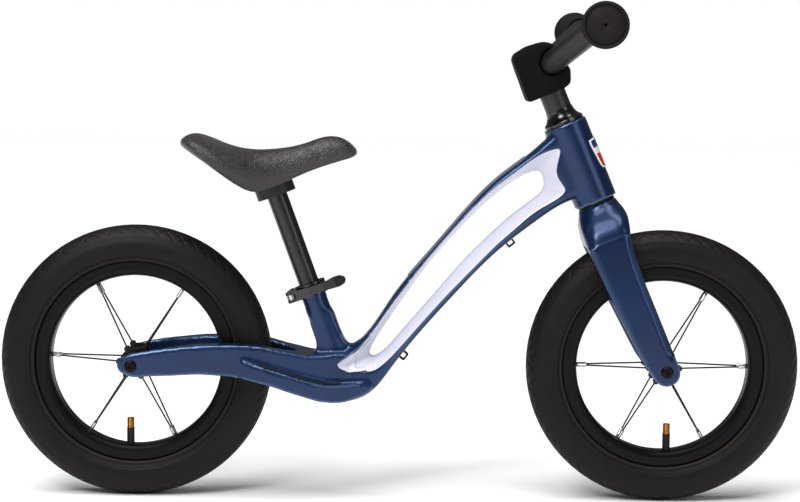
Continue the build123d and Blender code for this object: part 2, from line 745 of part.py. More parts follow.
def make_frame():
    head = put(STEER, tube(head_tube_r, head_bearing_r - 2.5, head_bottom, head_top))
    beam = make_beam()
    yoke = profile_slab(yoke_profile, 60) & plan_column(yoke_plan)
    ledge = profile_slab(ledge_profile, 60) & plan_column(ledge_plan)
    web = profile_slab(web_profile, seat_tube_r - 1.5)
    seat_tube = put(SEAT, Pos(0, 0, -seat_tube_len) * Cylinder(seat_tube_r, seat_tube_len, align=BASE))
    frame = beam + yoke + ledge + web + seat_tube
    frame -= plan_column(slot_plan)
    frame -= put(STEER, Pos(0, 0, head_bottom - 40) * Cylinder(head_tube_r, head_len + 80, align=BASE))
    frame += head
    for mid in head_bearing_mids():
        frame -= put(STEER, Pos(0, 0, mid - head_bearing_w / 2) * Cylinder(head_bearing_r, head_bearing_w, align=BASE))
    bore_len = post_inserted + post_drop
    frame -= put(SEAT, Pos(0, 0, -bore_len) * Cylinder(post_r + fit_gap, bore_len + 10, align=BASE))
    frame -= put(SEAT, Pos(-seat_tube_r, 0, -9) * Box(2 * seat_tube_r, ear_slot, 30))
    frame -= make_window()
    frame -= Pos(rear_x, 0, axle_z) * Rot(90, 0, 0) * Cylinder(bolt_r + 0.2, 140)
    return frame


def make_top_strip():
    """Thin guard strip laid along the top of the beam."""
    line = spline_xz(beam_top).edge().trim(strip_start, strip_end)
    start = Plane(origin=line @ 0, x_dir=(0, -1, 0), z_dir=line % 0)
    section = put(start, Pos(0, strip_t / 2) * Rectangle(2 * strip_half_w, strip_t))
    return sweep(section, path=line)


def make_head_badge():
    """Plain shield bent to the front of the head tube."""
    mid = head_bottom + head_len * 0.6
    shell = tube(head_tube_r + 1.2, head_tube_r, mid - 12, mid + 12)
    outline = Polyline([
        (0, -7.5, mid + 11), (0, 7.5, mid + 11), (0, 7.5, mid - 2), (0, 4.6, mid - 7.5), (0, 0, mid - 11),
        (0, -4.6, mid - 7.5), (0, -7.5, mid - 2),
    ], close=True)
    column = extrude(make_face(outline), head_tube_r + 5, dir=(1, 0, 0))
    return put(STEER, shell & column)


def make_footrest_pad(side):
    top = [(x, z + footrest_pad_t) for x, z in ledge_profile[1:6]]
    under = [(x, z) for x, z in reversed(ledge_profile[1:6])]
    sheet = profile_slab(top + under, 60)
    outer = [(x, y - 1.4) for x, y in ledge_plan[1:5]]
    inner = [(x, y - 1.4 - footrest_pad_w) for x, y in reversed(ledge_plan[1:5])]
    strip = Pos(0, 0, 90) * extrude(make_face(Polyline(outer + inner, close=True)), 110)
    pad = (sheet & strip) - (profile_slab(yoke_profile, 60) & plan_column(yoke_plan))
    pad = max(pad.solids(), key=lambda piece: piece.volume)
    return pad if side > 0 else mirror_y(pad)


def make_strap_loops():
    """Two small eyelets under the beam."""
    loops = []
    for start, end in (((106.3, 273.6), (129.3, 292.3)), ((-8.8, 143.0), (14.0, 172.2))):
        mid = ((start[0] + end[0]) / 2 + 1, 0, (start[1] + end[1]) / 2)
        along = (end[0] - start[0], 0, end[1] - start[1])
        place = Plane(origin=mid, x_dir=along, z_dir=(0, 1, 0))
        loop = place * (RectangleRounded(9.5, 11.0, 1.6) - RectangleRounded(5.6, 7.6, 0.8))
        loops.append(extrude(loop, 3.0, dir=(0, 1, 0), both=True) - slab(beam_face(), beam_half))
    return group(max(loop.solids(), key=lambda piece: piece.volume) for loop in loops)


# ---------------------------------------------------------------- seat clamp
skewer_a = -collar_h / 2
pivot_y = -(ear_half + cam_r + cam_offset + body_gap + 0.1)


def make_collar():
    collar = Pos(0, 0, -collar_h) * Cylinder(collar_r, collar_h, align=BASE)
    ear_len = ear_reach - seat_tube_r
    ears = Pos(-seat_tube_r - ear_len / 2, 0, skewer_a) * Box(ear_len, 2 * ear_half, ear_h)
    ears = fillet(ears.edges().filter_by(Axis.Y), 2.0)
    collar += ears
    collar -= Pos(0, 0, -collar_h - 1) * Cylinder(seat_tube_r, collar_h + 2, align=BASE)
    collar -= Pos(-ear_reach, 0, skewer_a) * Box(2 * ear_reach, ear_slot, 2 * collar_h)
    collar -= Pos(-skewer_back, 0, skewer_a) * Rot(90, 0, 0) * Cylinder(skewer_r + fit_gap, 60)
    return put(SEAT, collar)


def at_pivot(shape):
    return put(SEAT, Pos(-skewer_back, pivot_y, skewer_a) * shape)


def make_skewer():
    rod_end = ear_half + body_gap + nut_len + 1.5
    eye = Cylinder(eye_r, eye_t)
    rod = Rot(-90, 0, 0) * Cylinder(skewer_r, rod_end - pivot_y, align=BASE)
    return at_pivot(eye + rod - Cylinder(pivot_r, 20))


def make_pivot_pin():
    return at_pivot(Cylinder(pivot_r, cam_h))


def make_clamp_lever():
    outer = [(1.5, -5.4), (8, -7.6), (20, -8.4), (36, -8.2), (50, -7.2), (62.3, -5.2)]
    inner = [(62.3, -2.2), (50, -7.2 + lever_t), (36, -8.2 + lever_t), (20, -8.4 + lever_t), (8, -4.2), (4.6, 0.5)]
    plan = make_face(Polyline(outer + inner, close=True))
    arm = extrude(plan, cam_h / 2, both=True)
    side = [
        (-8, -6), (-8, 6), (6, 6), (14, 4.6), (34, 3.9), (41, 4.6), (50, 6), (57, 5.6), (61.5, 2.6),
        (62.3, -1), (60, -4.4), (54, -6), (46, -5.6), (34, -4.6), (14, -4.6), (6, -6),
    ]
    blade_outline = extrude(make_face(Polyline([(x, 0, z) for x, z in side], close=True)), 30, dir=(0, 1, 0), both=True)
    head = Pos(0, cam_offset, 0) * Cylinder(cam_r, cam_h)
    lever = head + (arm & blade_outline)
    lever -= Pos(-5.4, 0, 0) * Box(20, 30, eye_t + 2 * body_gap)
    lever -= Cylinder(pivot_r + fit_gap, 20)
    return at_pivot(lever)


def make_clamp_nut():
    nut = Cylinder(nut_r, nut_len, align=BASE)
    nut = chamfer(nut.edges().filter_by(GeomType.CIRCLE), 0.8)
    for i in range(18):
        nut -= Rot(0, 0, 20 * i) * Pos(nut_r + 0.35, 0, 1.4) * Cylinder(0.8, nut_len - 2.8, align=BASE)
    nut -= Pos(0, 0, -1) * Cylinder(skewer_r + fit_gap, nut_len + 2, align=BASE)
    return put(SEAT, Pos(-skewer_back, ear_half + body_gap, skewer_a) * Rot(-90, 0, 0) * nut)


# ---------------------------------------------------------------- saddle
saddle_outline = [
    (-240.0, 384.5), (-237.0, 391.5), (-229.0, 396.8), (-221.0, 397.6), (-208.0, 393.6), (-190.0, 386.0),
    (-172.0, 381.2), (-154.0, 379.9), (-137.0, 381.0), (-120.0, 383.4), (-104.0, 387.7), (-91.0, 393.2),
    (-80.0, 395.9), (-68.0, 395.0), (-57.0, 389.4), (-48.5, 380.5), (-46.0, 375.5), (-50.0, 373.4),
    (-66.0, 369.3), (-84.0, 363.5), (-99.0, 357.8), (-114.0, 351.0), (-128.0, 344.5), (-143.0, 338.5),
    (-157.0, 335.5), (-166.0, 338.5), (-178.0, 346.0), (-192.0, 356.5), (-207.0, 367.6), (-221.0, 377.0),
    (-233.0, 384.0),
]
saddle_plan = [
    (-241.0, 0.0), (-240.0, 26.0), (-235.0, 44.0), (-224.0, 58.0), (-206.0, saddle_half_w), (-188.0, 63.0),
    (-168.0, 52.0), (-150.0, 40.0), (-130.0, 30.5), (-105.0, 24.5), (-75.0, 21.5), (-56.0, 17.5),
    (-48.0, 9.0), (-45.5, 0.0),
]
shell_under = [
    (-66.0, 369.3), (-84.0, 363.5), (-99.0, 357.8), (-114.0, 351.0), (-128.0, 344.5), (-143.0, 338.5),
    (-157.0, 335.5), (-166.0, 338.5), (-178.0, 346.0), (-192.0, 356.5), (-207.0, 367.6), (-219.0, 375.6),
]


def make_saddle_base():
    """Plastic shell under the foam, with the socket that takes the post."""
    outline = shell_under + [(x, z + shell_t) for x, z in reversed(shell_under)]
    plan = [(x, max(y - 7.0, 0.0)) for x, y in saddle_plan[1:-1]]
    plan = [(plan[0][0], 0.0)] + plan + [(plan[-1][0], 0.0)]
    shell = profile_slab(outline, 80) & plan_column(plan, 320, 90)
    socket = put(SEAT, Pos(0, 0, post_exposed) * Cylinder(socket_r, socket_len, align=BASE))
    base = shell + socket
    base -= put(SEAT, Pos(0, 0, post_exposed - 1) * Cylinder(post_r, socket_len - 5 + 1, align=BASE))
    base -= put(SEAT, Pos(0, 0, post_exposed) * Cylinder(2.6, socket_len + 20, align=BASE))
    return base


def make_saddle_cover():
    cover = profile_slab(saddle_outline, 80) & plan_column(saddle_plan, 320, 90)
    socket = put(SEAT, Pos(0, 0, post_exposed - 10) * Cylinder(socket_r, socket_len + 10, align=BASE))
    head_room = put(SEAT, Pos(0, 0, post_exposed) * Cylinder(6.0, socket_len + 6, align=BASE))
    outline = shell_under + [(x, z + shell_t) for x, z in reversed(shell_under)]
    plan = [(x, max(y - 7.0, 0.0)) for x, y in saddle_plan[1:-1]]
    plan = [(plan[0][0], 0.0)] + plan + [(plan[-1][0], 0.0)]
    shell = profile_slab(outline, 80) & plan_column(plan, 320, 90)
    return cover - shell - socket - head_room


def make_seatpost():
    top = post_exposed + socket_len - 5
    post = tube(post_r, post_r - post_wall, -post_inserted, top)
    cap = Pos(0, 0, top - 4) * Cylinder(post_r - post_wall + 0.5, 4, align=BASE)
    post += cap
    return put(SEAT, post - Pos(0, 0, top - 6) * Cylinder(2.6, 10, align=BASE))


def make_seatpost_plug():
    plug = Pos(0, 0, -post_inserted) * Cylinder(post_r - post_wall, 12, align=BASE)
    flange = Pos(0, 0, -post_inserted - 1.6) * Cylinder(post_r - 0.3, 1.6, align=BASE)
    return put(SEAT, plug + flange)


def make_saddle_screw():
    """Screw down through the shell into the capped top of the post."""
    top = post_exposed + socket_len
    shank = Pos(0, 0, top - 14) * Cylinder(2.55, 14, align=BASE)
    head = Pos(0, 0, top) * Cylinder(4.8, 3.2, align=BASE)
    return put(SEAT, head + shank - Pos(0, 0, top + 1.2) * hex_socket(3.0, 4))


def export_all():
    os.makedirs("parts", exist_ok=True)
    for name, shape in nodes.items():
        export_step(shape, "parts/" + name + ".step")


add_wheel("front", front_x, front_spoke_phase, valve_lean)
add_wheel("rear", rear_x, rear_spoke_phase, -valve_lean)
nodes["fork"] = make_fork()
nodes["steerer_tube"] = make_steerer()
nodes["headset_outer_races"] = head_bearing_part(head_pitch_r + 0.6, head_bearing_r)
nodes["headset_inner_races"] = head_bearing_part(steerer_r, head_pitch_r - 0.6)
nodes["headset_balls"] = head_bearing_balls()
nodes["crown_race"] = make_crown_race()
nodes["headset_cap"] = make_headset_cap()
nodes["handlebar"] = make_handlebar()
nodes["expander_bolt"] = make_expander_bolt()
nodes["expander_wedge"] = make_expander_wedge()
nodes["grip_right"] = make_grip(-1)
nodes["grip_left"] = make_grip(1)
nodes["stem_pad"] = make_stem_pad()
nodes["frame"] = make_frame()
nodes["top_strip"] = make_top_strip()
nodes["head_badge"] = make_head_badge()
nodes["footrest_pad_right"] = make_footrest_pad(-1)
nodes["footrest_pad_left"] = make_footrest_pad(1)
nodes["strap_loops"] = make_strap_loops()
nodes["seat_clamp_collar"] = make_collar()
nodes["clamp_skewer"] = make_skewer()
nodes["clamp_pivot_pin"] = make_pivot_pin()
nodes["clamp_lever"] = make_clamp_lever()
nodes["clamp_nut"] = make_clamp_nut()
nodes["seatpost"] = make_seatpost()
nodes["seatpost_plug"] = make_seatpost_plug()
nodes["saddle_base"] = make_saddle_base()
nodes["saddle_cover"] = make_saddle_cover()
nodes["saddle_screw"] = make_saddle_screw()
if __name__ == "__main__":
    export_all()
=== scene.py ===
import json
import math

import bmesh
import bpy
from mathutils import Matrix, Vector, noise
from mathutils.bvhtree import BVHTree


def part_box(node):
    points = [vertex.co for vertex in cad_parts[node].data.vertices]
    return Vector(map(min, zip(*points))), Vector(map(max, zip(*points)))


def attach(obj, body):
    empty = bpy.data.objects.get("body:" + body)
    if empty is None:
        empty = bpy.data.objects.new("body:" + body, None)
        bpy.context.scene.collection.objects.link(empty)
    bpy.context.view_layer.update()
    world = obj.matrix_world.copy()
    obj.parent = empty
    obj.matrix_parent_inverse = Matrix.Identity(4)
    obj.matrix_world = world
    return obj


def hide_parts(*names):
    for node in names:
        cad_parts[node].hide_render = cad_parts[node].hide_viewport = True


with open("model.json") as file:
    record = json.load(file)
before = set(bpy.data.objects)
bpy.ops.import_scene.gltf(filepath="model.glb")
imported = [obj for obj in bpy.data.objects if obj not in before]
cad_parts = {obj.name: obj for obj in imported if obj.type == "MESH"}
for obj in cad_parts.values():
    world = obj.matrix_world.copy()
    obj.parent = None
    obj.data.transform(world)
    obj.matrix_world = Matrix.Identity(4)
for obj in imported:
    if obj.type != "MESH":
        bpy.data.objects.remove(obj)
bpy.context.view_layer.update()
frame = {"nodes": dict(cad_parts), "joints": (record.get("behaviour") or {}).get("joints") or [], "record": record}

# Balance bike. Metres; +X forward, +Y the rider's left, +Z up, ground at z = 0.
nodes = frame["nodes"]

# ---------------------------------------------------------------- frame casting
# One hollow magnesium alloy casting: head tube, pierced beam, two stays, foot ledges and
# seat tube. It is blasted smooth, so every edge is soft, and sprayed a deep metallic blue.
MM = 0.001


def linear(code):
    """sRGB hex to the linear colour that a shader takes."""
    parts = [int(code[i:i + 2], 16) / 255 for i in (1, 3, 5)]
    return [c / 12.92 if c <= 0.04045 else ((c + 0.055) / 1.055) ** 2.4 for c in parts] + [1.0]


def add(tree, kind, inputs=None, **settings):
    """Add one shader node with its settings, its values and its links."""
    made = tree.nodes.new("ShaderNode" + kind)
    for name, value in settings.items():
        setattr(made, name, value)
    for name, value in (inputs or {}).items():
        if isinstance(value, bpy.types.NodeSocket):
            tree.links.new(value, made.inputs[name])
        else:
            made.inputs[name].default_value = value
    return made


def blank_material(name):
    """A material with an empty tree and the object's own coordinates in millimetres."""
    made = bpy.data.materials.new(name)
    made.use_nodes = True
    tree = made.node_tree
    tree.nodes.clear()
    place = add(tree, "TexCoord")
    grid = add(tree, "Mapping", {"Vector": place.outputs["Object"], "Scale": (1000, 1000, 1000)})
    return made, tree, grid.outputs["Vector"]


def blended(tree, share, low, high):
    """A colour between two others, each a hex code or the output of a node."""
    mix = add(tree, "Mix", data_type="RGBA")
    tree.links.new(share, mix.inputs[0])
    for socket, colour in ((mix.inputs[6], low), (mix.inputs[7], high)):
        if isinstance(colour, str):
            socket.default_value = linear(colour)
        else:
            tree.links.new(colour, socket)
    return mix.outputs[2]


def grain(tree, at, size_mm, detail=1.0):
    """Cloudy variation from 0 to 1 at a real size."""
    inputs = {"Vector": at, "Scale": 1 / size_mm, "Detail": detail}
    return add(tree, "TexNoise", inputs).outputs["Fac"]


def between(tree, value, low, high, start=0.0, end=1.0):
    """Stretch a value's range from start..end to low..high."""
    inputs = {"Value": value, "From Min": start, "From Max": end, "To Min": low, "To Max": high}
    return add(tree, "MapRange", inputs).outputs[0]


def both_of(tree, a, b, operation="MULTIPLY"):
    """One value from two, by default their product."""
    return add(tree, "Math", {0: a, 1: b}, operation=operation).outputs[0]


def finished(made, tree, shader_inputs, height=None, depth_mm=0.05):
    """Close a material with its shader, and with a relief of the given depth."""
    if height is not None:
        relief = add(tree, "Bump", {"Height": height, "Strength": 1.0, "Distance": depth_mm * MM})
        shader_inputs["Normal"] = relief.outputs["Normal"]
    shader = add(tree, "BsdfPrincipled", shader_inputs)
    add(tree, "OutputMaterial", {"Surface": shader.outputs["BSDF"]})
    return made


def painted_edge_highlight(tree, start=0.515, end=0.58):
    """1 along raised edges, the mask of a painted highlight there."""
    return between(tree, add(tree, "NewGeometry").outputs["Pointiness"], 0.0, 1.0, start, end)


def sprayed_paint(name, deep, light, edge, metal, rough, coat, flake_mm=0.5, masked=None):
    """Sprayed paint: orange peel in the surface, flake in the colour, a painted highlight
    in the edge colour along the edges, and white where the points' masked value is 1."""
    made, tree, at = blank_material(name)
    cloud = grain(tree, at, 60, 2.0)
    colour = blended(tree, both_of(tree, cloud, grain(tree, at, flake_mm, 0.0)), deep, light)
    # Painted highlight: the edge colour is mixed in along raised edges.
    if edge:
        colour = blended(tree, painted_edge_highlight(tree), colour, edge)
    if masked:
        white = add(tree, "Attribute", attribute_name=masked).outputs["Fac"]
        inside = between(tree, white, 0.0, 1.0, 0.4, 0.6)
        colour = blended(tree, inside, colour, blended(tree, cloud, "#c0c0d0", "#d0d0de"))
        metal = between(tree, inside, metal, 0.0)
    return finished(made, tree, {
        "Base Color": colour, "Metallic": metal,
        "Roughness": between(tree, cloud, rough - 0.04, rough + 0.05),
        "Coat Weight": coat, "Coat Roughness": 0.12,
    }, grain(tree, at, 1.6), 0.02)


def mesh_from(bm, name):
    """A mesh from a finished bmesh."""
    mesh = bpy.data.meshes.new(name)
    bm.to_mesh(mesh)
    bm.free()
    return mesh


def placed(name, data):
    """A new object in the scene."""
    made = bpy.data.objects.new(name, data)
    bpy.context.scene.collection.objects.link(made)
    return made


def piece_from(bm, name, material, body, replaces=()):
    """Turn a finished bmesh into a named piece that rides on its body."""
    piece = placed(name, mesh_from(bm, name))
    piece.data.materials.append(material)
    for face in piece.data.polygons:
        face.use_smooth = True
    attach(piece, body)
    if replaces:
        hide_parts(*replaces)
    return piece


def dressed(material, slot, *names):
    """Give CAD pieces their finish."""
    for name in names:
        node = nodes[name]
        node.data.materials.clear()
        node.data.materials.append(material)


def merged_copy(node_name):
    """A welded copy of a CAD piece's mesh."""
    bm = bmesh.new()
    bm.from_mesh(nodes[node_name].data)
    bmesh.ops.remove_doubles(bm, verts=bm.verts, dist=0.01 * MM)
    return bm


def soft_cast(node_name, voxel_mm, rounds):
    """A CAD piece resampled on an even grid and relaxed, so that its edges round off."""
    carrier = placed("resampled", mesh_from(merged_copy(node_name), "resampled"))
    grid = carrier.modifiers.new("grid", "REMESH")
    grid.mode = "VOXEL"
    grid.voxel_size = voxel_mm * MM
    relax = carrier.modifiers.new("relax", "SMOOTH")
    relax.factor = 0.5
    relax.iterations = rounds
    bpy.context.view_layer.update()
    evaluated = carrier.evaluated_get(bpy.context.evaluated_depsgraph_get())
    bm = bmesh.new()
    bm.from_mesh(evaluated.to_mesh())
    evaluated.to_mesh_clear()
    bpy.data.objects.remove(carrier)
    return bm


def eased(bm, verts, rounds=1):
    """Relax points of a mesh, in each round halfway to the mean of their neighbours."""
    for _ in range(rounds):
        bmesh.ops.smooth_vert(bm, verts=verts, factor=0.5,
                              use_axis_x=True, use_axis_y=True, use_axis_z=True)


# The blue has fine metal flake in it and a thin clear coat. Close by it sparkles, from further
# off it is faintly clouded, and a painted highlight in paler blue runs along every edge.
# edge is the colour of the painted highlight along the casting's edges.
BLUE = {"deep": "#091a3c", "light": "#1f4374", "edge": "#6484aa", "metal": 0.6, "rough": 0.3,
        "coat": 0.2}
CAST_GRID, CAST_ROUNDS = 1.9, 9                  # millimetres, rounds of relaxing
joints = {joint["name"]: joint for joint in frame["joints"]}
blue_paint = sprayed_paint("metallic blue paint", **BLUE)
casting = soft_cast("frame", CAST_GRID, CAST_ROUNDS)

# Where the web runs into the front of the seat tube the skin is eased further.
WEB_MID, WEB_REACH, WEB_ROUNDS = Vector((-0.080, 0, 0.196)), 26 * MM, 14
SEAT_TOP, WEB_BACK = Vector((-0.0992, 0, 0.2349)), 8 * MM
seat_ahead = Vector((0, 1, 0)).cross(Vector(joints["seat_height"]["axis"]))
web_verts = [vert for vert in casting.verts if (vert.co - WEB_MID).length < WEB_REACH
             and (vert.co - SEAT_TOP).dot(seat_ahead) > WEB_BACK]
eased(casting, web_verts, WEB_ROUNDS)

# The funnel walls of the opening through the beam are masked and sprayed white, so the
# white ends in a crisp line on the beam's side faces.
SIDE_FACE, LIP_HALF, MASK_SOFT = 19.9 * MM, 4.2 * MM, 2.0 * MM
FUNNEL_START, FUNNEL_FOLD, WALL_NEAR = 12 * MM, math.radians(40), 30 * MM
openings = {gap["name"]: gap["box_m"] for gap in frame["record"]["physics"]["openings"]}


def funnel_faces(bm):
    """The walls of the opening, grown from a face inside it on each side."""
    bm.faces.ensure_lookup_table()
    tree = BVHTree.FromBMesh(bm)
    low, high = [Vector(p) for p in openings["beam_window_middle"]]
    middle = (low + high) / 2
    kept = set()
    for side in (-1, 1):
        start = Vector((middle.x, side * FUNNEL_START, middle.z))
        growing = [bm.faces[tree.ray_cast(start, Vector((0, 0, up)))[2]] for up in (1, -1)]
        while growing:
            face = growing.pop()
            if face in kept or abs(face.calc_center_median().y) > SIDE_FACE:
                continue
            kept.add(face)
            for edge in face.edges:
                on_lip = all(abs(vert.co.y) < LIP_HALF for vert in edge.verts)
                if len(edge.link_faces) == 2 and (on_lip or edge.calc_face_angle() < FUNNEL_FOLD):
                    growing.extend(edge.link_faces)
    return kept


walls = merged_copy("frame")
rest = walls.copy()
kept = {face.index for face in funnel_faces(walls)}
rest.faces.ensure_lookup_table()
in_rest = [face for face in rest.faces if face.index in kept]
bmesh.ops.delete(rest, geom=in_rest, context="FACES")
out_of_walls = [face for face in walls.faces if face.index not in kept]
bmesh.ops.delete(walls, geom=out_of_walls, context="FACES")
wall_tree, rest_tree = BVHTree.FromBMesh(walls), BVHTree.FromBMesh(rest)
mask = casting.verts.layers.float.new("masked")
for vert in casting.verts:
    to_wall = wall_tree.find_nearest(vert.co, WALL_NEAR)[3]
    if to_wall is not None:
        to_rest = rest_tree.find_nearest(vert.co)[3]
        vert[mask] = min(1.0, max(0.0, 0.5 + (to_rest - to_wall) / MASK_SOFT / 2))


def on_line(points, x):
    """Height of a line of points at x."""
    for (x0, z0), (x1, z1) in zip(points, points[1:]):
        if x0 <= x <= x1:
            return z0 + (z1 - z0) * (x - x0) / (x1 - x0)
    return None


# At its tail the funnel runs on into the wider yoke, so the yoke's skin dips into it there.
# The dip lies between two lines of (x, height) in millimetres and deepens going forward.
TAIL_TOP = [(-67.0, 148.5), (-62.0, 152.5), (-45.0, 162.5), (-29.0, 183.0), (-22.0, 193.0)]
TAIL_UNDER = [(-67.0, 148.5), (-64.0, 144.5), (-54.0, 139.8), (-26.2, 143.3), (-22.0, 147.0)]
TAIL_BACK, TAIL_FRONT, TAIL_SKIN = -67.0, -22.0, 17.0
TAIL_ACROSS = 0.8                                # height inside the lines to distance inside
TAIL_SLOPE, TAIL_FLOOR, TAIL_DEEPER, TAIL_RUN = 1.1, 20.5, 16.0, 34.0
for vert in casting.verts:
    x, y, z = vert.co / MM
    if abs(y) < TAIL_SKIN or not TAIL_BACK < x < TAIL_FRONT:
        continue
    inside = TAIL_ACROSS * min(on_line(TAIL_TOP, x) - z, z - on_line(TAIL_UNDER, x))
    if inside <= -1.0:
        continue
    vert[mask] = max(vert[mask], min(1.0, max(0.0, 0.5 + inside * MM / MASK_SOFT)))
    floor_y = TAIL_FLOOR - TAIL_DEEPER * min(1.0, (x - TAIL_BACK) / TAIL_RUN)
    if inside > 0:
        vert.co.y = math.copysign(min(abs(y), max(abs(y) - TAIL_SLOPE * inside, floor_y)) * MM, y)
casting_paint = sprayed_paint("metallic blue paint with a white window", **BLUE, masked="masked")
piece_from(casting, "frame_casting", casting_paint, "frame", ["frame"])

# ---------------------------------------------------------------- guard strip
# A grey moulded strip glued along the beam's top, where a child steps over it. It has a
# fine pebbled surface that dulls the shine.
strip_plastic, tree, at = blank_material("pebbled grey polyurethane")
PEBBLE = 1.3                                     # millimetres
pebble = add(tree, "TexVoronoi", {"Vector": at, "Scale": 1 / PEBBLE}, feature="SMOOTH_F1")
pebbles = pebble.outputs["Distance"]
finished(strip_plastic, tree, {
    "Base Color": blended(tree, both_of(tree, pebbles, grain(tree, at, 20)), "#5b6068", "#848a92"),
    "Roughness": between(tree, pebbles, 0.42, 0.62),
}, pebbles, 0.12)
dressed(strip_plastic, "strip_grey", "top_strip")

# ---------------------------------------------------------------- head badge
# A thin pressed plate with a raised white rim and plain bands of enamel, bent round the
# front of the head tube and glued on.
steer_foot = Vector(joints["steering"]["pos_m"])
steer_up = Vector(joints["steering"]["axis"]).normalized()
steer_ahead = Vector((0, 1, 0)).cross(steer_up)


def on_steering(ahead, left, up):
    """A point given in millimetres ahead of, left of and up the steering axis."""
    return steer_foot + (steer_ahead * ahead + Vector((0, left, 0)) + steer_up * up) * MM


HEAD_TUBE_R = 23.75
BADGE_MID, BADGE_HALF = 243.0, 16.5              # up the steering axis, millimetres
BADGE_ARC = math.radians(50.0)                   # half its angle round the tube
BADGE_T, BADGE_SUNK, RIM_RAISED = 1.0, 0.15, 0.3
RIM_FROM, SIDE_RIM, END_RIM = 0.86, 0.88, 0.9    # shares of the half width or half height
BLUE_FROM, RED_TO = 0.42, 0.0
FOOT_TAPER, CORNER_TAPER, BOWED = 0.28, 0.10, 0.05
# Thick enamel in flat colours, with a soft, deep shine and hardly any texture.
badge_white = sprayed_paint("white enamel", "#dcdce4", "#f2f2f6", None, 0.0, 0.2, 0.6)
badge_blue = sprayed_paint("blue enamel", "#141c5a", "#222c74", None, 0.0, 0.2, 0.6)
badge_red = sprayed_paint("red enamel", "#b80d12", "#d8161b", None, 0.0, 0.2, 0.6)
ACROSS, UPWARD = 24, 20
badge = bmesh.new()
bmesh.ops.create_grid(badge, x_segments=ACROSS, y_segments=UPWARD, size=1.0)
for face in badge.faces:
    middle = face.calc_center_median()
    if abs(middle.x) < SIDE_RIM and abs(middle.y) < END_RIM:
        face.material_index = 1 if middle.y > BLUE_FROM else 2 if middle.y < RED_TO else 0
plate = bmesh.ops.extrude_face_region(badge, geom=badge.faces[:])
for vert in [item for item in plate["geom"] if isinstance(item, bmesh.types.BMVert)]:
    vert.co.z = 1.0
for vert in badge.verts:
    taper = 1 - FOOT_TAPER * (0.5 - 0.5 * vert.co.y) - CORNER_TAPER * abs(vert.co.y) ** 6
    angle = BADGE_ARC * vert.co.x * taper
    raised = RIM_RAISED if max(abs(vert.co.x), abs(vert.co.y)) > RIM_FROM else 0.0
    lift = HEAD_TUBE_R - BADGE_SUNK + vert.co.z * (BADGE_T + raised)
    height = BADGE_MID + BADGE_HALF * vert.co.y * (1 + BOWED * (1 - vert.co.x ** 2))
    vert.co = on_steering(lift * math.cos(angle), lift * math.sin(angle), height)
bmesh.ops.recalc_face_normals(badge, faces=badge.faces)
badge_piece = piece_from(badge, "badge_plate", badge_white, "frame", ["head_badge"])
badge_piece.data.materials.append(badge_blue)
badge_piece.data.materials.append(badge_red)

# ---------------------------------------------------------------- foot ledge strips
# Black rubber strips glued on the ledges where the feet rest, moulded with cross ribs that
# give grip.
# Dull rubber with a faint cloudy bloom and a fine grain between the ribs.
moulded_rubber, tree, at = blank_material("black moulded rubber")
bloom = grain(tree, at, 9, 3.0)
finished(moulded_rubber, tree, {
    "Base Color": blended(tree, bloom, "#0c0b0a", "#181614"),
    "Roughness": between(tree, bloom, 0.5, 0.68), "Specular IOR Level": 0.3,
}, grain(tree, at, 0.7), 0.05)
LEDGE_GRID, LEDGE_ROUNDS = 0.55, 2
LEDGE_RIB_PITCH, LEDGE_RIB_H = 4.0, 0.35
for side in ("right", "left"):
    strip = soft_cast("footrest_pad_" + side, LEDGE_GRID, LEDGE_ROUNDS)
    for vert in strip.verts:
        wave = math.cos(2 * math.pi * vert.co.x / MM / LEDGE_RIB_PITCH)
        vert.co += vert.normal * (min(0.5, max(-0.5, wave)) - 0.5) * LEDGE_RIB_H * MM
    piece_from(strip, "ledge_strip_" + side, moulded_rubber, "frame",
               ["footrest_pad_" + side])

# ---------------------------------------------------------------- strap loops
# Two small wire eyes under the beam for a carrying strap, bent from steel and blackened in
# a hot bath, which leaves a stained brown black with a dull gleam.
black_oxide, tree, at = blank_material("black oxide steel")
stain = grain(tree, at, 4, 2.0)
finished(black_oxide, tree, {
    "Base Color": blended(tree, stain, "#0f0d0b", "#1d1a18"), "Metallic": 0.85,
    "Roughness": between(tree, stain, 0.3, 0.48),
}, grain(tree, at, 0.5), 0.02)
dressed(black_oxide, "bright_steel", "strap_loops")

# ---------------------------------------------------------------- head bearings
# Two rows of loose balls between pressed and ground rings. The rings' ground tracks show
# fine lines round the steering axis; the crown race is blackened.
ground_steel, tree, at = blank_material("ground bearing steel")
lines = add(tree, "Mapping", {"Vector": at, "Scale": (0.05, 3.0, 0.05)}).outputs["Vector"]
marks = add(tree, "TexNoise", {"Vector": lines, "Scale": 1.0, "Detail": 3.0}).outputs["Fac"]
finished(ground_steel, tree, {
    "Base Color": blended(tree, marks, "#8f8e8b", "#c9c8c4"), "Metallic": 1.0,
    "Roughness": between(tree, marks, 0.2, 0.36),
}, marks, 0.01)
dressed(ground_steel, "bright_steel", "headset_inner_races", "headset_balls",
        "front_bearing_inner_rings", "front_bearing_outer_rings", "front_bearing_balls",
        "rear_bearing_inner_rings", "rear_bearing_outer_rings", "rear_bearing_balls")
dressed(black_oxide, "bright_steel", "headset_outer_races", "crown_race")

# ---------------------------------------------------------------- headset cap
# A turned aluminium dust cap in gloss black, flared at its foot like the bell of a horn.
black_gloss = sprayed_paint("gloss black paint", "#040303", "#0d0b0a", None, 0.0, 0.22, 0.3, 0.9)
dressed(black_gloss, "black_paint", "headset_cap")

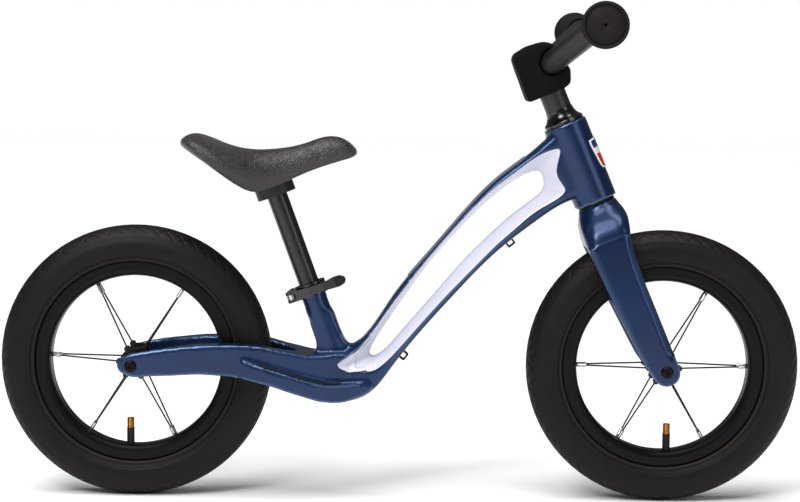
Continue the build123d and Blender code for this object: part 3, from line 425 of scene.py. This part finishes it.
# ---------------------------------------------------------------- fork
# A cast crown and two flat blades in one piece, in the frame's blue. A flat is cut along
# each blade's front outer edge, so a paler line runs from the crown to the axle.
FORK_GRID, FORK_ROUNDS = 1.6, 8
FLAT_AHEAD, FLAT_OUT = 7.5, 4.2      # width of the flat, measured ahead and outward
BLADE_TOP, BLADE_LOW = 150.0, 8.0    # up the steering axis from the axle
FADE_TOP, FADE_LOW = 22.0, 12.0
SLICE = 4.0
fork = soft_cast("fork", FORK_GRID, FORK_ROUNDS)
spots = {}
for vert in fork.verts:
    offset = vert.co - steer_foot
    spots[vert] = Vector((offset.dot(steer_ahead), offset.y, offset.dot(steer_up))) / MM
front_of, out_of = {}, {}
for spot in spots.values():
    level = int(spot.z // SLICE)
    front_of[level] = max(front_of.get(level, -99.0), spot.x)
    out_of[level] = max(out_of.get(level, 0.0), abs(spot.y))


def levelled(table, height):
    """A limit of the blade at a height, eased between slices."""
    share = height / SLICE - 0.5
    level = math.floor(share)
    low = table.get(level, table.get(level + 1, 0.0))
    high = table.get(level + 1, low)
    return low + (high - low) * (share - level)


for vert, spot in spots.items():
    if not BLADE_LOW < spot.z < BLADE_TOP + FADE_TOP:
        continue
    fade = min(1.0, (BLADE_TOP + FADE_TOP - spot.z) / FADE_TOP, (spot.z - BLADE_LOW) / FADE_LOW)
    ahead = (spot.x - levelled(front_of, spot.z)) / FLAT_AHEAD + 1
    outward = (abs(spot.y) - levelled(out_of, spot.z)) / FLAT_OUT + 1
    if ahead > 0 and outward > 0 and ahead + outward > 1:
        over = (1 - 1 / (ahead + outward)) * fade
        vert.co -= steer_ahead * ahead * over * FLAT_AHEAD * MM
        vert.co.y -= math.copysign(outward * over * FLAT_OUT * MM, spot.y)
piece_from(fork, "fork_casting", blue_paint, "steering", ["fork"])

# ---------------------------------------------------------------- steerer and its wedge
# A drawn steel tube pressed into the fork, and the bolt and wedge that jam the bar's quill
# inside it. Zinc plated, so they are dull and slightly blue.
zinc_plate, tree, at = blank_material("zinc plated steel")
spangle = add(tree, "TexVoronoi", {"Vector": at, "Scale": 1 / 2.2}).outputs["Distance"]
finished(zinc_plate, tree, {
    "Base Color": blended(tree, spangle, "#85888c", "#b4b7ba"), "Metallic": 1.0,
    "Roughness": between(tree, spangle, 0.32, 0.46),
}, grain(tree, at, 0.6), 0.01)
dressed(zinc_plate, "bright_steel", "steerer_tube", "expander_bolt", "expander_wedge")

# ---------------------------------------------------------------- handlebar
# A bent steel tube welded across the top of its post, powder coated satin black. The coat
# has a fine orange peel that breaks up the highlights.
powder_coat, tree, at = blank_material("satin black powder coat")
mottle = grain(tree, at, 25, 2.0)
finished(powder_coat, tree, {
    "Base Color": blended(tree, mottle, "#120f0d", "#211c19"),
    "Roughness": between(tree, mottle, 0.36, 0.46),
}, grain(tree, at, 0.9), 0.05)
dressed(powder_coat, "grey_paint", "handlebar")

# ---------------------------------------------------------------- grips
# Soft moulded rubber sleeves pushed on the bar's ends. A wide round flange keeps the hand
# off walls; its face is a shallow dished disc inside a raised rim, with a vent hole.


def turned(profile, steps):
    """Spin a closed outline of (radius, y) in millimetres about the Y axis."""
    bm = bmesh.new()
    ring = [bm.verts.new((r * MM, y * MM, 0)) for r, y in profile]
    edges = [bm.edges.new((ring[i - 1], ring[i])) for i in range(len(ring))]
    bmesh.ops.spin(bm, geom=ring + edges, cent=(0, 0, 0), axis=(0, 1, 0), angle=2 * math.pi,
                   steps=steps, use_merge=True)
    bmesh.ops.remove_doubles(bm, verts=bm.verts, dist=0.001 * MM)
    bmesh.ops.recalc_face_normals(bm, faces=bm.faces)
    return bm


GRIP_GROOVES, GROOVES_FROM, GROOVE_PITCH = 11, 15.0, 6.2


def grip_profile(length):
    """Outline of (radius, distance in from the outer end) of one grip."""
    face = [(1.6, length - 6), (1.6, 1.0), (6.0, 0.75), (19.0, 1.0), (19.4, 2.1), (20.1, 2.1),
            (20.4, 0.5)]
    rim = [(21.4, 0.1), (22.6, 0.0), (23.3, 0.5), (23.6, 1.4), (23.6, 3.4), (23.2, 4.2),
           (22.3, 4.5)]
    back = [(22.2, 5.0), (23.0, 5.4), (23.2, 6.4), (22.9, 8.0), (21.6, 9.1), (18.0, 9.6),
            (15.9, 10.6), (15.4, 12.5)]
    grooves = []
    for i in range(GRIP_GROOVES):
        start = GROOVES_FROM + GROOVE_PITCH * i
        grooves += [(15.3, start), (14.75, start + 0.5), (14.7, start + 1.3), (15.25, start + 1.9)]
    collar = [(15.3, length - 6.0), (16.2, length - 5.0), (17.2, length - 3.8),
              (17.3, length - 1.4)]
    mouth = [(16.6, length - 0.3), (13.2, length), (12.9, length - 0.6), (12.9, length - 4.0),
             (4.0, length - 5.0)]
    return face + rim + back + grooves + collar + mouth


# Stippled, slightly dusty rubber that hardly shines.
grip_rubber, tree, at = blank_material("dark grey grip rubber")
dust = grain(tree, at, 12, 3.0)
stipple = add(tree, "TexVoronoi", {"Vector": at, "Scale": 1 / 0.8}).outputs["Distance"]
finished(grip_rubber, tree, {
    "Base Color": blended(tree, dust, "#110e0c", "#1c1815"),
    "Roughness": between(tree, dust, 0.55, 0.7), "Specular IOR Level": 0.15,
}, stipple, 0.06)
GRIP_STEPS = 96
for side, name in ((1, "left"), (-1, "right")):
    low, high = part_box("grip_" + name)
    middle = (low + high) / 2
    end_y = max(abs(low.y), abs(high.y)) / MM
    profile = [(r, side * (end_y - inward)) for r, inward in grip_profile((high.y - low.y) / MM)]
    grip = turned(profile, GRIP_STEPS)
    bmesh.ops.translate(grip, verts=grip.verts, vec=(middle.x, 0, middle.z))
    piece_from(grip, "grip_rubber_" + name, grip_rubber, "steering",
               ["grip_" + name])

# ---------------------------------------------------------------- bar pad
# A block of foam in a black woven cover, wrapped round the joint of the bar and its post.
# Its ends meet at the front under a flap of hook and loop tape, where the cloth creases.
PAD_GRID, PAD_ROUNDS = 1.3, 30
PAD_CROWN = 3.0                                  # how far the foam swells at the ends
CROWN_AHEAD, CROWN_MID, CROWN_UP = 24.0, 349.0, 27.0
FLAP_LOW, FLAP_HIGH, FLAP_BACK = 322.0, 357.0, 10.5
FLAP_LIFT, FLAP_RAGGED, HEM_T = 1.3, 1.2, 1.2
PAD_CREASE, FLAP_CREASE = 1.0, 1.6
THREADS = {"Scale": 0.241, "Distortion": 0.6}
pad_cloth, tree, at = blank_material("black woven nylon")
# Matt cloth whose weave shows as a fine check.
warp = add(tree, "TexWave", {"Vector": at, **THREADS}, bands_direction="X").outputs["Fac"]
weft = add(tree, "TexWave", {"Vector": at, **THREADS}, bands_direction="Z").outputs["Fac"]
weave = both_of(tree, warp, weft, "MAXIMUM")
faded = both_of(tree, weave, grain(tree, at, 14, 2.0))
finished(pad_cloth, tree, {
    "Base Color": blended(tree, faded, "#040302", "#120f0d"),
    "Roughness": between(tree, weave, 0.92, 0.78), "Specular IOR Level": 0.12,
}, weave, 0.12)


def creased(bm, amount):
    """Slack cloth: broad folds with smaller creases between them."""
    bm.normal_update()
    for vert in bm.verts:
        fold = noise.noise(vert.co * 30) * 0.8 + noise.noise(vert.co * 85) * 0.35
        vert.co += vert.normal * (fold - 0.5) * amount * MM


pad_low, pad_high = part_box("stem_pad")
pad_half = (pad_high.y - pad_low.y) / 2
pad = soft_cast("stem_pad", PAD_GRID, PAD_ROUNDS)
flap = pad.copy()
for vert in pad.verts:
    spot = vert.co - steer_foot
    if abs(vert.normal.y) > 0.6 and abs(spot.y) > 0.8 * pad_half:
        ahead = spot.dot(steer_ahead) / MM / CROWN_AHEAD
        upward = (spot.dot(steer_up) / MM - CROWN_MID) / CROWN_UP
        swell = max(0.0, 1 - ahead ** 2 - upward ** 2)
        vert.co.y += math.copysign(swell * PAD_CROWN * MM, spot.y)
creased(pad, PAD_CREASE)
pad_piece = piece_from(pad, "bar_pad", pad_cloth, "steering", ["stem_pad"])
outside = []
for face in flap.faces:
    spot = face.calc_center_median() - steer_foot
    ragged = FLAP_RAGGED * noise.noise(spot * 150)
    ahead, upward = spot.dot(steer_ahead) / MM - ragged, spot.dot(steer_up) / MM - ragged
    if ahead <= FLAP_BACK or not FLAP_LOW < upward < FLAP_HIGH:
        outside.append(face)
bmesh.ops.delete(flap, geom=outside, context="FACES")
creased(flap, FLAP_CREASE)
for vert in flap.verts:
    vert.co += vert.normal * FLAP_LIFT * MM
flap_piece = piece_from(flap, "pad_flap", pad_cloth, "steering")
hem = flap_piece.modifiers.new("hem", "SOLIDIFY")
hem.thickness = HEM_T * MM
hem.offset = 0.0

# ---------------------------------------------------------------- hubs and axles
# Each hub is a black anodised turning with a boss for every spoke. It runs on two sealed
# bearings round a steel axle, held between nylon spacers by a black bolt at each side.
AXLE_X, AXLE_Z = 287.4, 148.5


def wheel_marks(tree, at, pitch_mm):
    """Fine lines round a wheel's own axle, as a lathe leaves them."""
    parts = add(tree, "SeparateXYZ", {"Vector": at})
    across = add(tree, "Math", {0: parts.outputs["X"]}, operation="ABSOLUTE").outputs[0]
    ahead = both_of(tree, both_of(tree, across, AXLE_X, "SUBTRACT"), 2.0, "POWER")
    up = both_of(tree, both_of(tree, parts.outputs["Z"], AXLE_Z, "SUBTRACT"), 2.0, "POWER")
    radius = both_of(tree, both_of(tree, ahead, up, "ADD"), 0.5, "POWER")
    along = both_of(tree, both_of(tree, radius, parts.outputs["Y"], "ADD"), 1 / pitch_mm)
    inputs = {"W": along, "Scale": 1.0, "Detail": 2.0}
    return add(tree, "TexNoise", inputs, noise_dimensions="1D").outputs["Fac"]


# Deep black with a low metallic shine that breaks into faint rings where the lathe cut.
anodised, tree, at = blank_material("black anodised aluminium")
lathe = wheel_marks(tree, at, 0.9)
finished(anodised, tree, {
    "Base Color": blended(tree, lathe, "#080706", "#151312"),
    "Roughness": between(tree, lathe, 0.28, 0.4), "Specular IOR Level": 0.3,
}, lathe, 0.02)
dressed(anodised, "black_rim", "front_hub", "rear_hub")
# Dull black nylon, clouded and very finely sparked as it comes from the mould.
nylon, tree, at = blank_material("black moulded nylon")
spark = grain(tree, at, 0.6, 2.0)
finished(nylon, tree, {
    "Base Color": blended(tree, grain(tree, at, 18, 2.0), "#0d0c0b", "#191716"),
    "Roughness": between(tree, spark, 0.42, 0.6), "Specular IOR Level": 0.4,
}, spark, 0.04)
dressed(nylon, "black_plastic", "front_axle_spacers", "rear_axle_spacers")
dressed(zinc_plate, "bright_steel", "front_axle", "rear_axle")
dressed(black_oxide, "bright_steel", "front_axle_bolts", "rear_axle_bolts")

# ---------------------------------------------------------------- rims and rim tapes
# Rolled aluminium hoops, welded and anodised gloss black; fine rolling lines run round
# them. A nylon tape inside covers the nipples' heads.
rim_alloy, tree, at = blank_material("gloss black anodised rim")
rolled = wheel_marks(tree, at, 1.4)
finished(rim_alloy, tree, {
    "Base Color": blended(tree, rolled, "#050404", "#0f0d0d"),
    "Roughness": between(tree, rolled, 0.3, 0.42), "Specular IOR Level": 0.13,
}, rolled, 0.03)
dressed(rim_alloy, "black_rim", "front_rim", "rear_rim")
dressed(nylon, "black_plastic", "front_rim_tape", "rear_rim_tape")

# ---------------------------------------------------------------- spokes and nipples
# Drawn steel wires, blackened, screwed into nickel plated brass nipples at the rim.
# A thin gleam along the wire, with darker patches in it.
black_wire, tree, at = blank_material("blackened drawn wire")
drawn = grain(tree, at, 3, 3.0)
finished(black_wire, tree, {
    "Base Color": blended(tree, drawn, "#0c0b0a", "#1d1b1a"), "Metallic": 0.5,
    "Roughness": between(tree, drawn, 0.3, 0.45),
}, grain(tree, at, 0.4), 0.01)
dressed(black_wire, "black_rim", "front_spokes", "rear_spokes")
# Bright, slightly warm plating with a light haze.
nickel, tree, at = blank_material("nickel plate")
haze = grain(tree, at, 5, 2.0)
finished(nickel, tree, {
    "Base Color": blended(tree, haze, "#a3a19b", "#d6d4ce"), "Metallic": 1.0,
    "Roughness": between(tree, haze, 0.14, 0.28),
}, grain(tree, at, 0.8), 0.01)
dressed(nickel, "nickel", "front_spoke_nipples", "rear_spoke_nipples")

# ---------------------------------------------------------------- inner tubes and valves
# A butyl tube dusted with talc, with a car-type valve: a black rubber stem moulded on and
# a brass core and tip, whose thread shows as fine rings.
# Soft black rubber with pale traces of talc.
butyl, tree, at = blank_material("black butyl rubber")
talc = grain(tree, at, 6, 3.0)
finished(butyl, tree, {
    "Base Color": blended(tree, talc, "#0a0909", "#191717"),
    "Roughness": between(tree, talc, 0.5, 0.7), "Specular IOR Level": 0.3,
}, grain(tree, at, 0.9), 0.04)
dressed(butyl, "black_rubber", "front_inner_tube", "rear_inner_tube")
brass, tree, at = blank_material("machined brass")
# Yellow metal, darker where it is tarnished. The thread is drawn at 1.6 mm, twice its real
# pitch, so that its rings can be seen.
thread = add(tree, "TexWave", {"Vector": at, "Scale": 0.196}, bands_direction="Z").outputs["Fac"]
tarnish = both_of(tree, thread, grain(tree, at, 3))
finished(brass, tree, {
    "Base Color": blended(tree, tarnish, "#8d5312", "#e0a04a"), "Metallic": 1.0,
    "Roughness": between(tree, thread, 0.24, 0.36),
}, thread, 0.25)
dressed(brass, "brass", "front_valve", "rear_valve")

# ---------------------------------------------------------------- tyres
# Black moulded rubber, 12 inch. Thin grooves cross on the crown and run out on the
# shoulders, the side wall has fine raised ribs, and a deep ring is moulded by the rim.
tyre_low, tyre_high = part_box("front_tyre")
TYRE_R = (tyre_high.z - tyre_low.z) / 2 / MM
SECTION_R = (tyre_high.y - tyre_low.y) / 2 / MM
MID_R = TYRE_R - SECTION_R
BODY_T = 2.4
PITCHES = 64                # times that the tread's pattern repeats round the tyre
PITCH_MM = 2 * math.pi * TYRE_R / PITCHES
STEPS = 12 * PITCHES
# Places on the section, as distances along the rubber from the crown's middle.
TREAD, LIP = 23.5, 54.0
CENTRE_LINE, CENTRE_SWING = 1.4, 0.6
SHORT_FROM, SHORT_TO = 5, 19
RIBS_FROM, RIBS_TO, FINE_RING, DEEP_RING = 29, 43, 45.2, 49.4
# Widths and depths of the grooves, and the height and number of the side wall's ribs.
LONG_CUT, SHORT_CUT, CENTRE_CUT = (1.15, 0.9), (0.9, 0.7), (0.9, 0.7)
DEEP_CUT, FINE_CUT = (1.5, 1.2), (0.9, 0.35)
TREAD_STEP, TREAD_SLOPE, TREAD_FADE = 0.55, 0.3, 4.0
RIB_H, SIDE_RIBS = 0.14, 192


def groove(distance, width, depth):
    """Depth of a groove with soft walls at a distance from its middle."""
    return depth * max(0.0, min(1.0, (width - abs(distance)) / (0.45 * width)))


def line_at(pitch, width, depth):
    """A thin groove once in every pitch."""
    return groove((pitch % 1 - 0.5) * PITCH_MM, width, depth)


def tyre_relief(turn, along):
    """How far the rubber lies below the full section, in millimetres."""
    side = abs(along)
    if side > TREAD:
        ribbed = RIBS_FROM < side < RIBS_TO
        rib = RIB_H * (0.5 + 0.5 * math.cos(turn * SIDE_RIBS)) if ribbed else 0.0
        step = min(TREAD_STEP, (side - TREAD) * TREAD_SLOPE)
        rings = groove(side - DEEP_RING, *DEEP_CUT) + groove(side - FINE_RING, *FINE_CUT)
        return step - rib + rings
    # The two sides are half a pitch out of step, and the short cuts lean the other way.
    pitch = turn / (2 * math.pi) * PITCHES + (0.5 if along > 0 else 0.0)
    fade = min(1.0, (TREAD - side) / TREAD_FADE)
    long_cut = line_at(pitch + side / 13, *LONG_CUT)
    short_cut = 0.0
    if SHORT_FROM < side < SHORT_TO:
        short_cut = line_at(pitch * 0.5 - side / 30, *SHORT_CUT)
    swung = CENTRE_LINE + CENTRE_SWING * math.cos(turn * PITCHES)
    return max(groove(side - swung, *CENTRE_CUT), long_cut * fade, short_cut * fade)


def section_line(places, radius):
    """Outline of (radius, y) of the tyre's round section at a radius of its own."""
    turns = [place / SECTION_R for place in places]
    return [(MID_R + radius * math.cos(turn), radius * math.sin(turn)) for turn in turns]


# Points are close together on the tread and by the moulded rings, and wide apart between.
half = [0.85 * i for i in range(1, 29)] + [25.5 + 2.2 * i for i in range(9)]
half += [44.4, 45.2, 46.0, 47.4, 48.4, 49.0, 49.4, 49.8, 50.4, 51.4, LIP]
across = sorted([-place for place in half] + [0.0] + half)
outer = section_line(across, SECTION_R)
inner = section_line(across[::-6], SECTION_R - BODY_T)
tyre = turned(outer + inner, STEPS)
for vert in tyre.verts:
    radius = math.hypot(vert.co.x, vert.co.z)
    out, side = radius / MM - MID_R, vert.co.y / MM
    if math.hypot(out, side) < SECTION_R - 0.5 * BODY_T:
        continue
    along = math.atan2(side, out) * SECTION_R
    keep = 1 - tyre_relief(math.atan2(vert.co.z, vert.co.x), along) / SECTION_R
    new_radius = (MID_R + out * keep) * MM
    grown = new_radius / radius
    vert.co = Vector((vert.co.x * grown, side * keep * MM, vert.co.z * grown))
tyre_mesh = mesh_from(tyre, "tyre")
# Almost matt rubber, patchy with wear, with a painted highlight in paler brown along the edges of its relief.
tyre_rubber, tree, at = blank_material("black tyre rubber")
wear = grain(tree, at, 22, 3.0)
worn_black = blended(tree, wear, "#080705", "#15120f")
finished(tyre_rubber, tree, {
    "Base Color": blended(tree, painted_edge_highlight(tree, 0.52, 0.62), worn_black, "#2b2622"),
    "Roughness": between(tree, wear, 0.46, 0.6), "Specular IOR Level": 0.17,
}, grain(tree, at, 0.8), 0.06)
for end in ("front", "rear"):
    low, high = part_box(end + "_tyre")
    this = bmesh.new()
    this.from_mesh(tyre_mesh)
    bmesh.ops.translate(this, verts=this.verts, vec=(low + high) / 2)
    piece_from(this, end + "_tyre_rubber", tyre_rubber, end + "_wheel",
               [end + "_tyre"])

# ---------------------------------------------------------------- seat clamp
# A split aluminium collar painted gloss black, closed by a cam lever on a nickel plated
# skewer with a knurled nut.
dressed(black_gloss, "black_paint", "seat_clamp_collar", "clamp_lever", "clamp_nut")
dressed(nickel, "nickel", "clamp_skewer", "clamp_pivot_pin")

# ---------------------------------------------------------------- seat post
# A drawn tube painted satin black, faintly scored along its length where it slides in the
# seat tube. A nylon plug closes its foot.
post_paint, tree, at = blank_material("satin black post paint")
POST_LEAN = Matrix.Rotation(math.radians(20.3), 3, "Y").to_euler()
along_post = {"Vector": at, "Rotation": POST_LEAN, "Scale": (1.2, 1.2, 0.02)}
slid = add(tree, "Mapping", along_post).outputs["Vector"]
scores = add(tree, "TexNoise", {"Vector": slid, "Scale": 1.0, "Detail": 3.0}).outputs["Fac"]
finished(post_paint, tree, {
    "Base Color": blended(tree, scores, "#070605", "#171412"),
    "Roughness": between(tree, scores, 0.22, 0.38), "Specular IOR Level": 0.5,
}, scores, 0.02)
dressed(post_paint, "black_paint", "seatpost")
dressed(nylon, "black_plastic", "seatpost_plug")

# ---------------------------------------------------------------- saddle
# A moulded polyurethane skin over foam on a nylon shell, screwed down on the post's cap.
# The foam is crowned across, wide at the back and narrow at the nose, and the skin has a
# fine leather grain.
dressed(nylon, "black_plastic", "saddle_base")
dressed(zinc_plate, "bright_steel", "saddle_screw")
saddle_low, saddle_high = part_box("saddle_cover")
saddle_tree = BVHTree.FromBMesh(merged_copy("saddle_cover"))


STATIONS = 48
END_GAP = 0.006             # share of the length between an end and the station nearest it
SADDLE_STRETCH = 1.022      # brings the relaxed ends back to the full length
MIDDLE_UP = 0.34            # share of the height at which the saddle is widest
TOP_ROUND, SIDE_ROUND, UNDER_ROUND, PLAN_ROUND = 0.86, 0.82, 0.7, 26
UNDER_SWELL, UNDER_FROM, UNDER_RISE = 1.7, 0.6, 10 * MM
SADDLE_STEPS = 96


def meeting(x, y, z, towards):
    """Where a line from a point outside the saddle meets it."""
    return saddle_tree.ray_cast(Vector((x, y, z)), Vector(towards))[0]


def saddle_station(share):
    """Top, bottom and half width of the saddle at a share of its length, from the tail."""
    reached = END_GAP + (1 - 2 * END_GAP) * share
    x = saddle_low.x + reached * (saddle_high.x - saddle_low.x)
    top = meeting(x, 0, 1, (0, 0, -1)).z
    hits = [meeting(x, 1, top - drop * MM, (0, -1, 0)) for drop in (0.2, 1, 3)]
    half_width = max(hit.y for hit in hits if hit)
    under = [meeting(x, half_width * out, 0, (0, 0, 1)) for out in (0.8, 0.9, 0.96)]
    return x, top, min(hit.z for hit in under if hit), half_width


def evened(rows, i):
    """The mean of a row and its two neighbours."""
    near = [rows[min(max(k, 0), len(rows) - 1)] for k in (i - 1, i, i + 1)]
    return [sum(values) / 3 for values in zip(*near)]


measured = [saddle_station(i / STATIONS) for i in range(STATIONS + 1)]
stations = [evened(measured, i) for i in range(STATIONS + 1)]


def saddle_point(unit):
    """Carry a point of the unit sphere to the saddle's surface."""
    along = math.acos(max(-1.0, min(1.0, -unit.x))) / math.pi
    i = min(int(along * STATIONS), STATIONS - 1)
    past = along * STATIONS - i
    x, top, bottom, half_width = [a + (b - a) * past
                                  for a, b in zip(stations[i], stations[i + 1])]
    ring = math.hypot(unit.y, unit.z)
    if ring < 1e-6:
        return Vector((x, 0, (top + bottom) / 2))
    full = (1 - abs(2 * along - 1) ** PLAN_ROUND) ** 0.5
    out, rise = unit.y / ring, unit.z / ring
    middle = bottom + MIDDLE_UP * (top - bottom)
    if rise >= 0:
        y = half_width * math.copysign(abs(out) ** SIDE_ROUND, out)
        z = middle + (top - middle) * rise ** TOP_ROUND
    else:
        y = half_width * math.copysign(abs(out) ** UNDER_ROUND, out)
        z = middle - (middle - bottom) * min(1.0, UNDER_SWELL * -rise)
        z += UNDER_RISE * max(0.0, -rise - UNDER_FROM)
    centre = (top + middle) / 2
    return Vector((x, y * full, centre + (z - centre) * full))


saddle = bmesh.new()
bmesh.ops.create_uvsphere(saddle, u_segments=SADDLE_STEPS, v_segments=SADDLE_STEPS, radius=1.0,
                          matrix=Matrix.Rotation(math.radians(90), 4, "Y"))
for vert in saddle.verts:
    vert.co = saddle_point(vert.co.normalized())
eased(saddle, saddle.verts)
saddle_mid = (saddle_low.x + saddle_high.x) / 2
for vert in saddle.verts:
    vert.co.x = saddle_mid + (vert.co.x - saddle_mid) * SADDLE_STRETCH
bmesh.ops.recalc_face_normals(saddle, faces=saddle.faces)
skin, tree, at = blank_material("grained polyurethane skin")
# Leather grain with worn tops, over broad changes of shine. Its cells are drawn 2.6 mm
# across, nearly twice their real size, so that they show.
GRAIN_CELL = 2.6
cells = add(tree, "TexVoronoi", {"Vector": at, "Scale": 1 / GRAIN_CELL},
            feature="DISTANCE_TO_EDGE")
raised = between(tree, cells.outputs["Distance"], 0.0, 1.0, 0.0, 0.3)
shine = grain(tree, at, 16, 3.0)
finished(skin, tree, {
    "Base Color": blended(tree, both_of(tree, raised, shine), "#12100e", "#3a3530"),
    "Roughness": between(tree, shine, 0.34, 0.48), "Specular IOR Level": 0.6,
    "Sheen Weight": 0.12, "Sheen Roughness": 0.4,
}, raised, 0.3)
saddle_piece = piece_from(saddle, "saddle_skin", skin, "seat", ["saddle_cover"])

# ---------------------------------------------------------------- camera, light and floor
# A long lens at a standing child's height, one large soft light in front, a weak one at the
# right, an even light from overhead, and a pale floor that fades into the white behind.
camera_data = bpy.data.cameras.new("camera")
camera_data.lens = 90.36
camera_data.sensor_width = 36
camera = placed("camera", camera_data)
CAMERA_AT = (0.01848, -2.18198, 0.467)
YAW, PITCH, ROLL = 0.0085, 0.0896, 0.0103
level_right = Vector((math.cos(YAW), math.sin(YAW), 0))
level_ahead = Vector((-math.sin(YAW), math.cos(YAW), 0))
camera_ahead = level_ahead * math.cos(PITCH) - Vector((0, 0, 1)) * math.sin(PITCH)
pitched_up = Vector((0, 0, 1)) * math.cos(PITCH) + level_ahead * math.sin(PITCH)
camera_right = level_right * math.cos(ROLL) + pitched_up * math.sin(ROLL)
camera_up = pitched_up * math.cos(ROLL) - level_right * math.sin(ROLL)
camera_turn = Matrix((camera_right, camera_up, -camera_ahead)).transposed()
camera.matrix_world = Matrix.Translation(CAMERA_AT) @ camera_turn.to_4x4()
bpy.context.scene.camera = camera


def soft_box(name, place, size, watts):
    """A studio light: a large flat lamp turned to face the bike's middle."""
    lamp = bpy.data.lights.new(name, "AREA")
    lamp.shape = "RECTANGLE"
    lamp.size, lamp.size_y = size
    lamp.energy = watts
    holder = placed(name, lamp)
    holder.location = place
    holder.rotation_euler = (BIKE_MIDDLE - Vector(place)).to_track_quat("-Z", "Y").to_euler()


BIKE_MIDDLE = Vector((0, 0, 0.25))
soft_box("key", (-1.1, -2.1, 2.2), (1.0, 1.0), 46)
soft_box("fill", (2.0, -1.7, 1.1), (1.0, 1.6), 12)
overhead = bpy.data.lights.new("overhead", "SUN")
overhead.energy = 3.0
overhead.angle = math.radians(50)
placed("overhead", overhead).rotation_euler = (math.radians(14), math.radians(-8), 0)
# The bike is lit evenly and weakly from all round, and the camera sees plain white behind.
studio = bpy.data.worlds.new("studio")
studio.use_nodes = True
sky = studio.node_tree
sky.nodes.clear()
sight = add(sky, "LightPath")
lighting = add(sky, "Background", {"Color": (1, 1, 1, 1), "Strength": 0.12})
backdrop = add(sky, "Background", {"Color": (1, 1, 1, 1), "Strength": 1.0})
both = add(sky, "MixShader", {0: sight.outputs["Is Camera Ray"],
                              1: lighting.outputs[0], 2: backdrop.outputs[0]})
add(sky, "OutputWorld", {"Surface": both.outputs[0]})
bpy.context.scene.world = studio
bpy.context.scene.view_settings.view_transform = "Standard"
floor_bm = bmesh.new()
bmesh.ops.create_grid(floor_bm, x_segments=1, y_segments=1, size=12)
floor = placed("floor", mesh_from(floor_bm, "floor"))
# Matt white, very slightly mottled, so that it melts into the backdrop but holds a shadow.
floor_paint, tree, at = blank_material("white studio floor")
finished(floor_paint, tree, {
    "Base Color": blended(tree, grain(tree, at, 2), "#fefefe", "#ffffff"), "Roughness": 0.9,
    "Specular IOR Level": 0.2,
})
floor.data.materials.append(floor_paint)
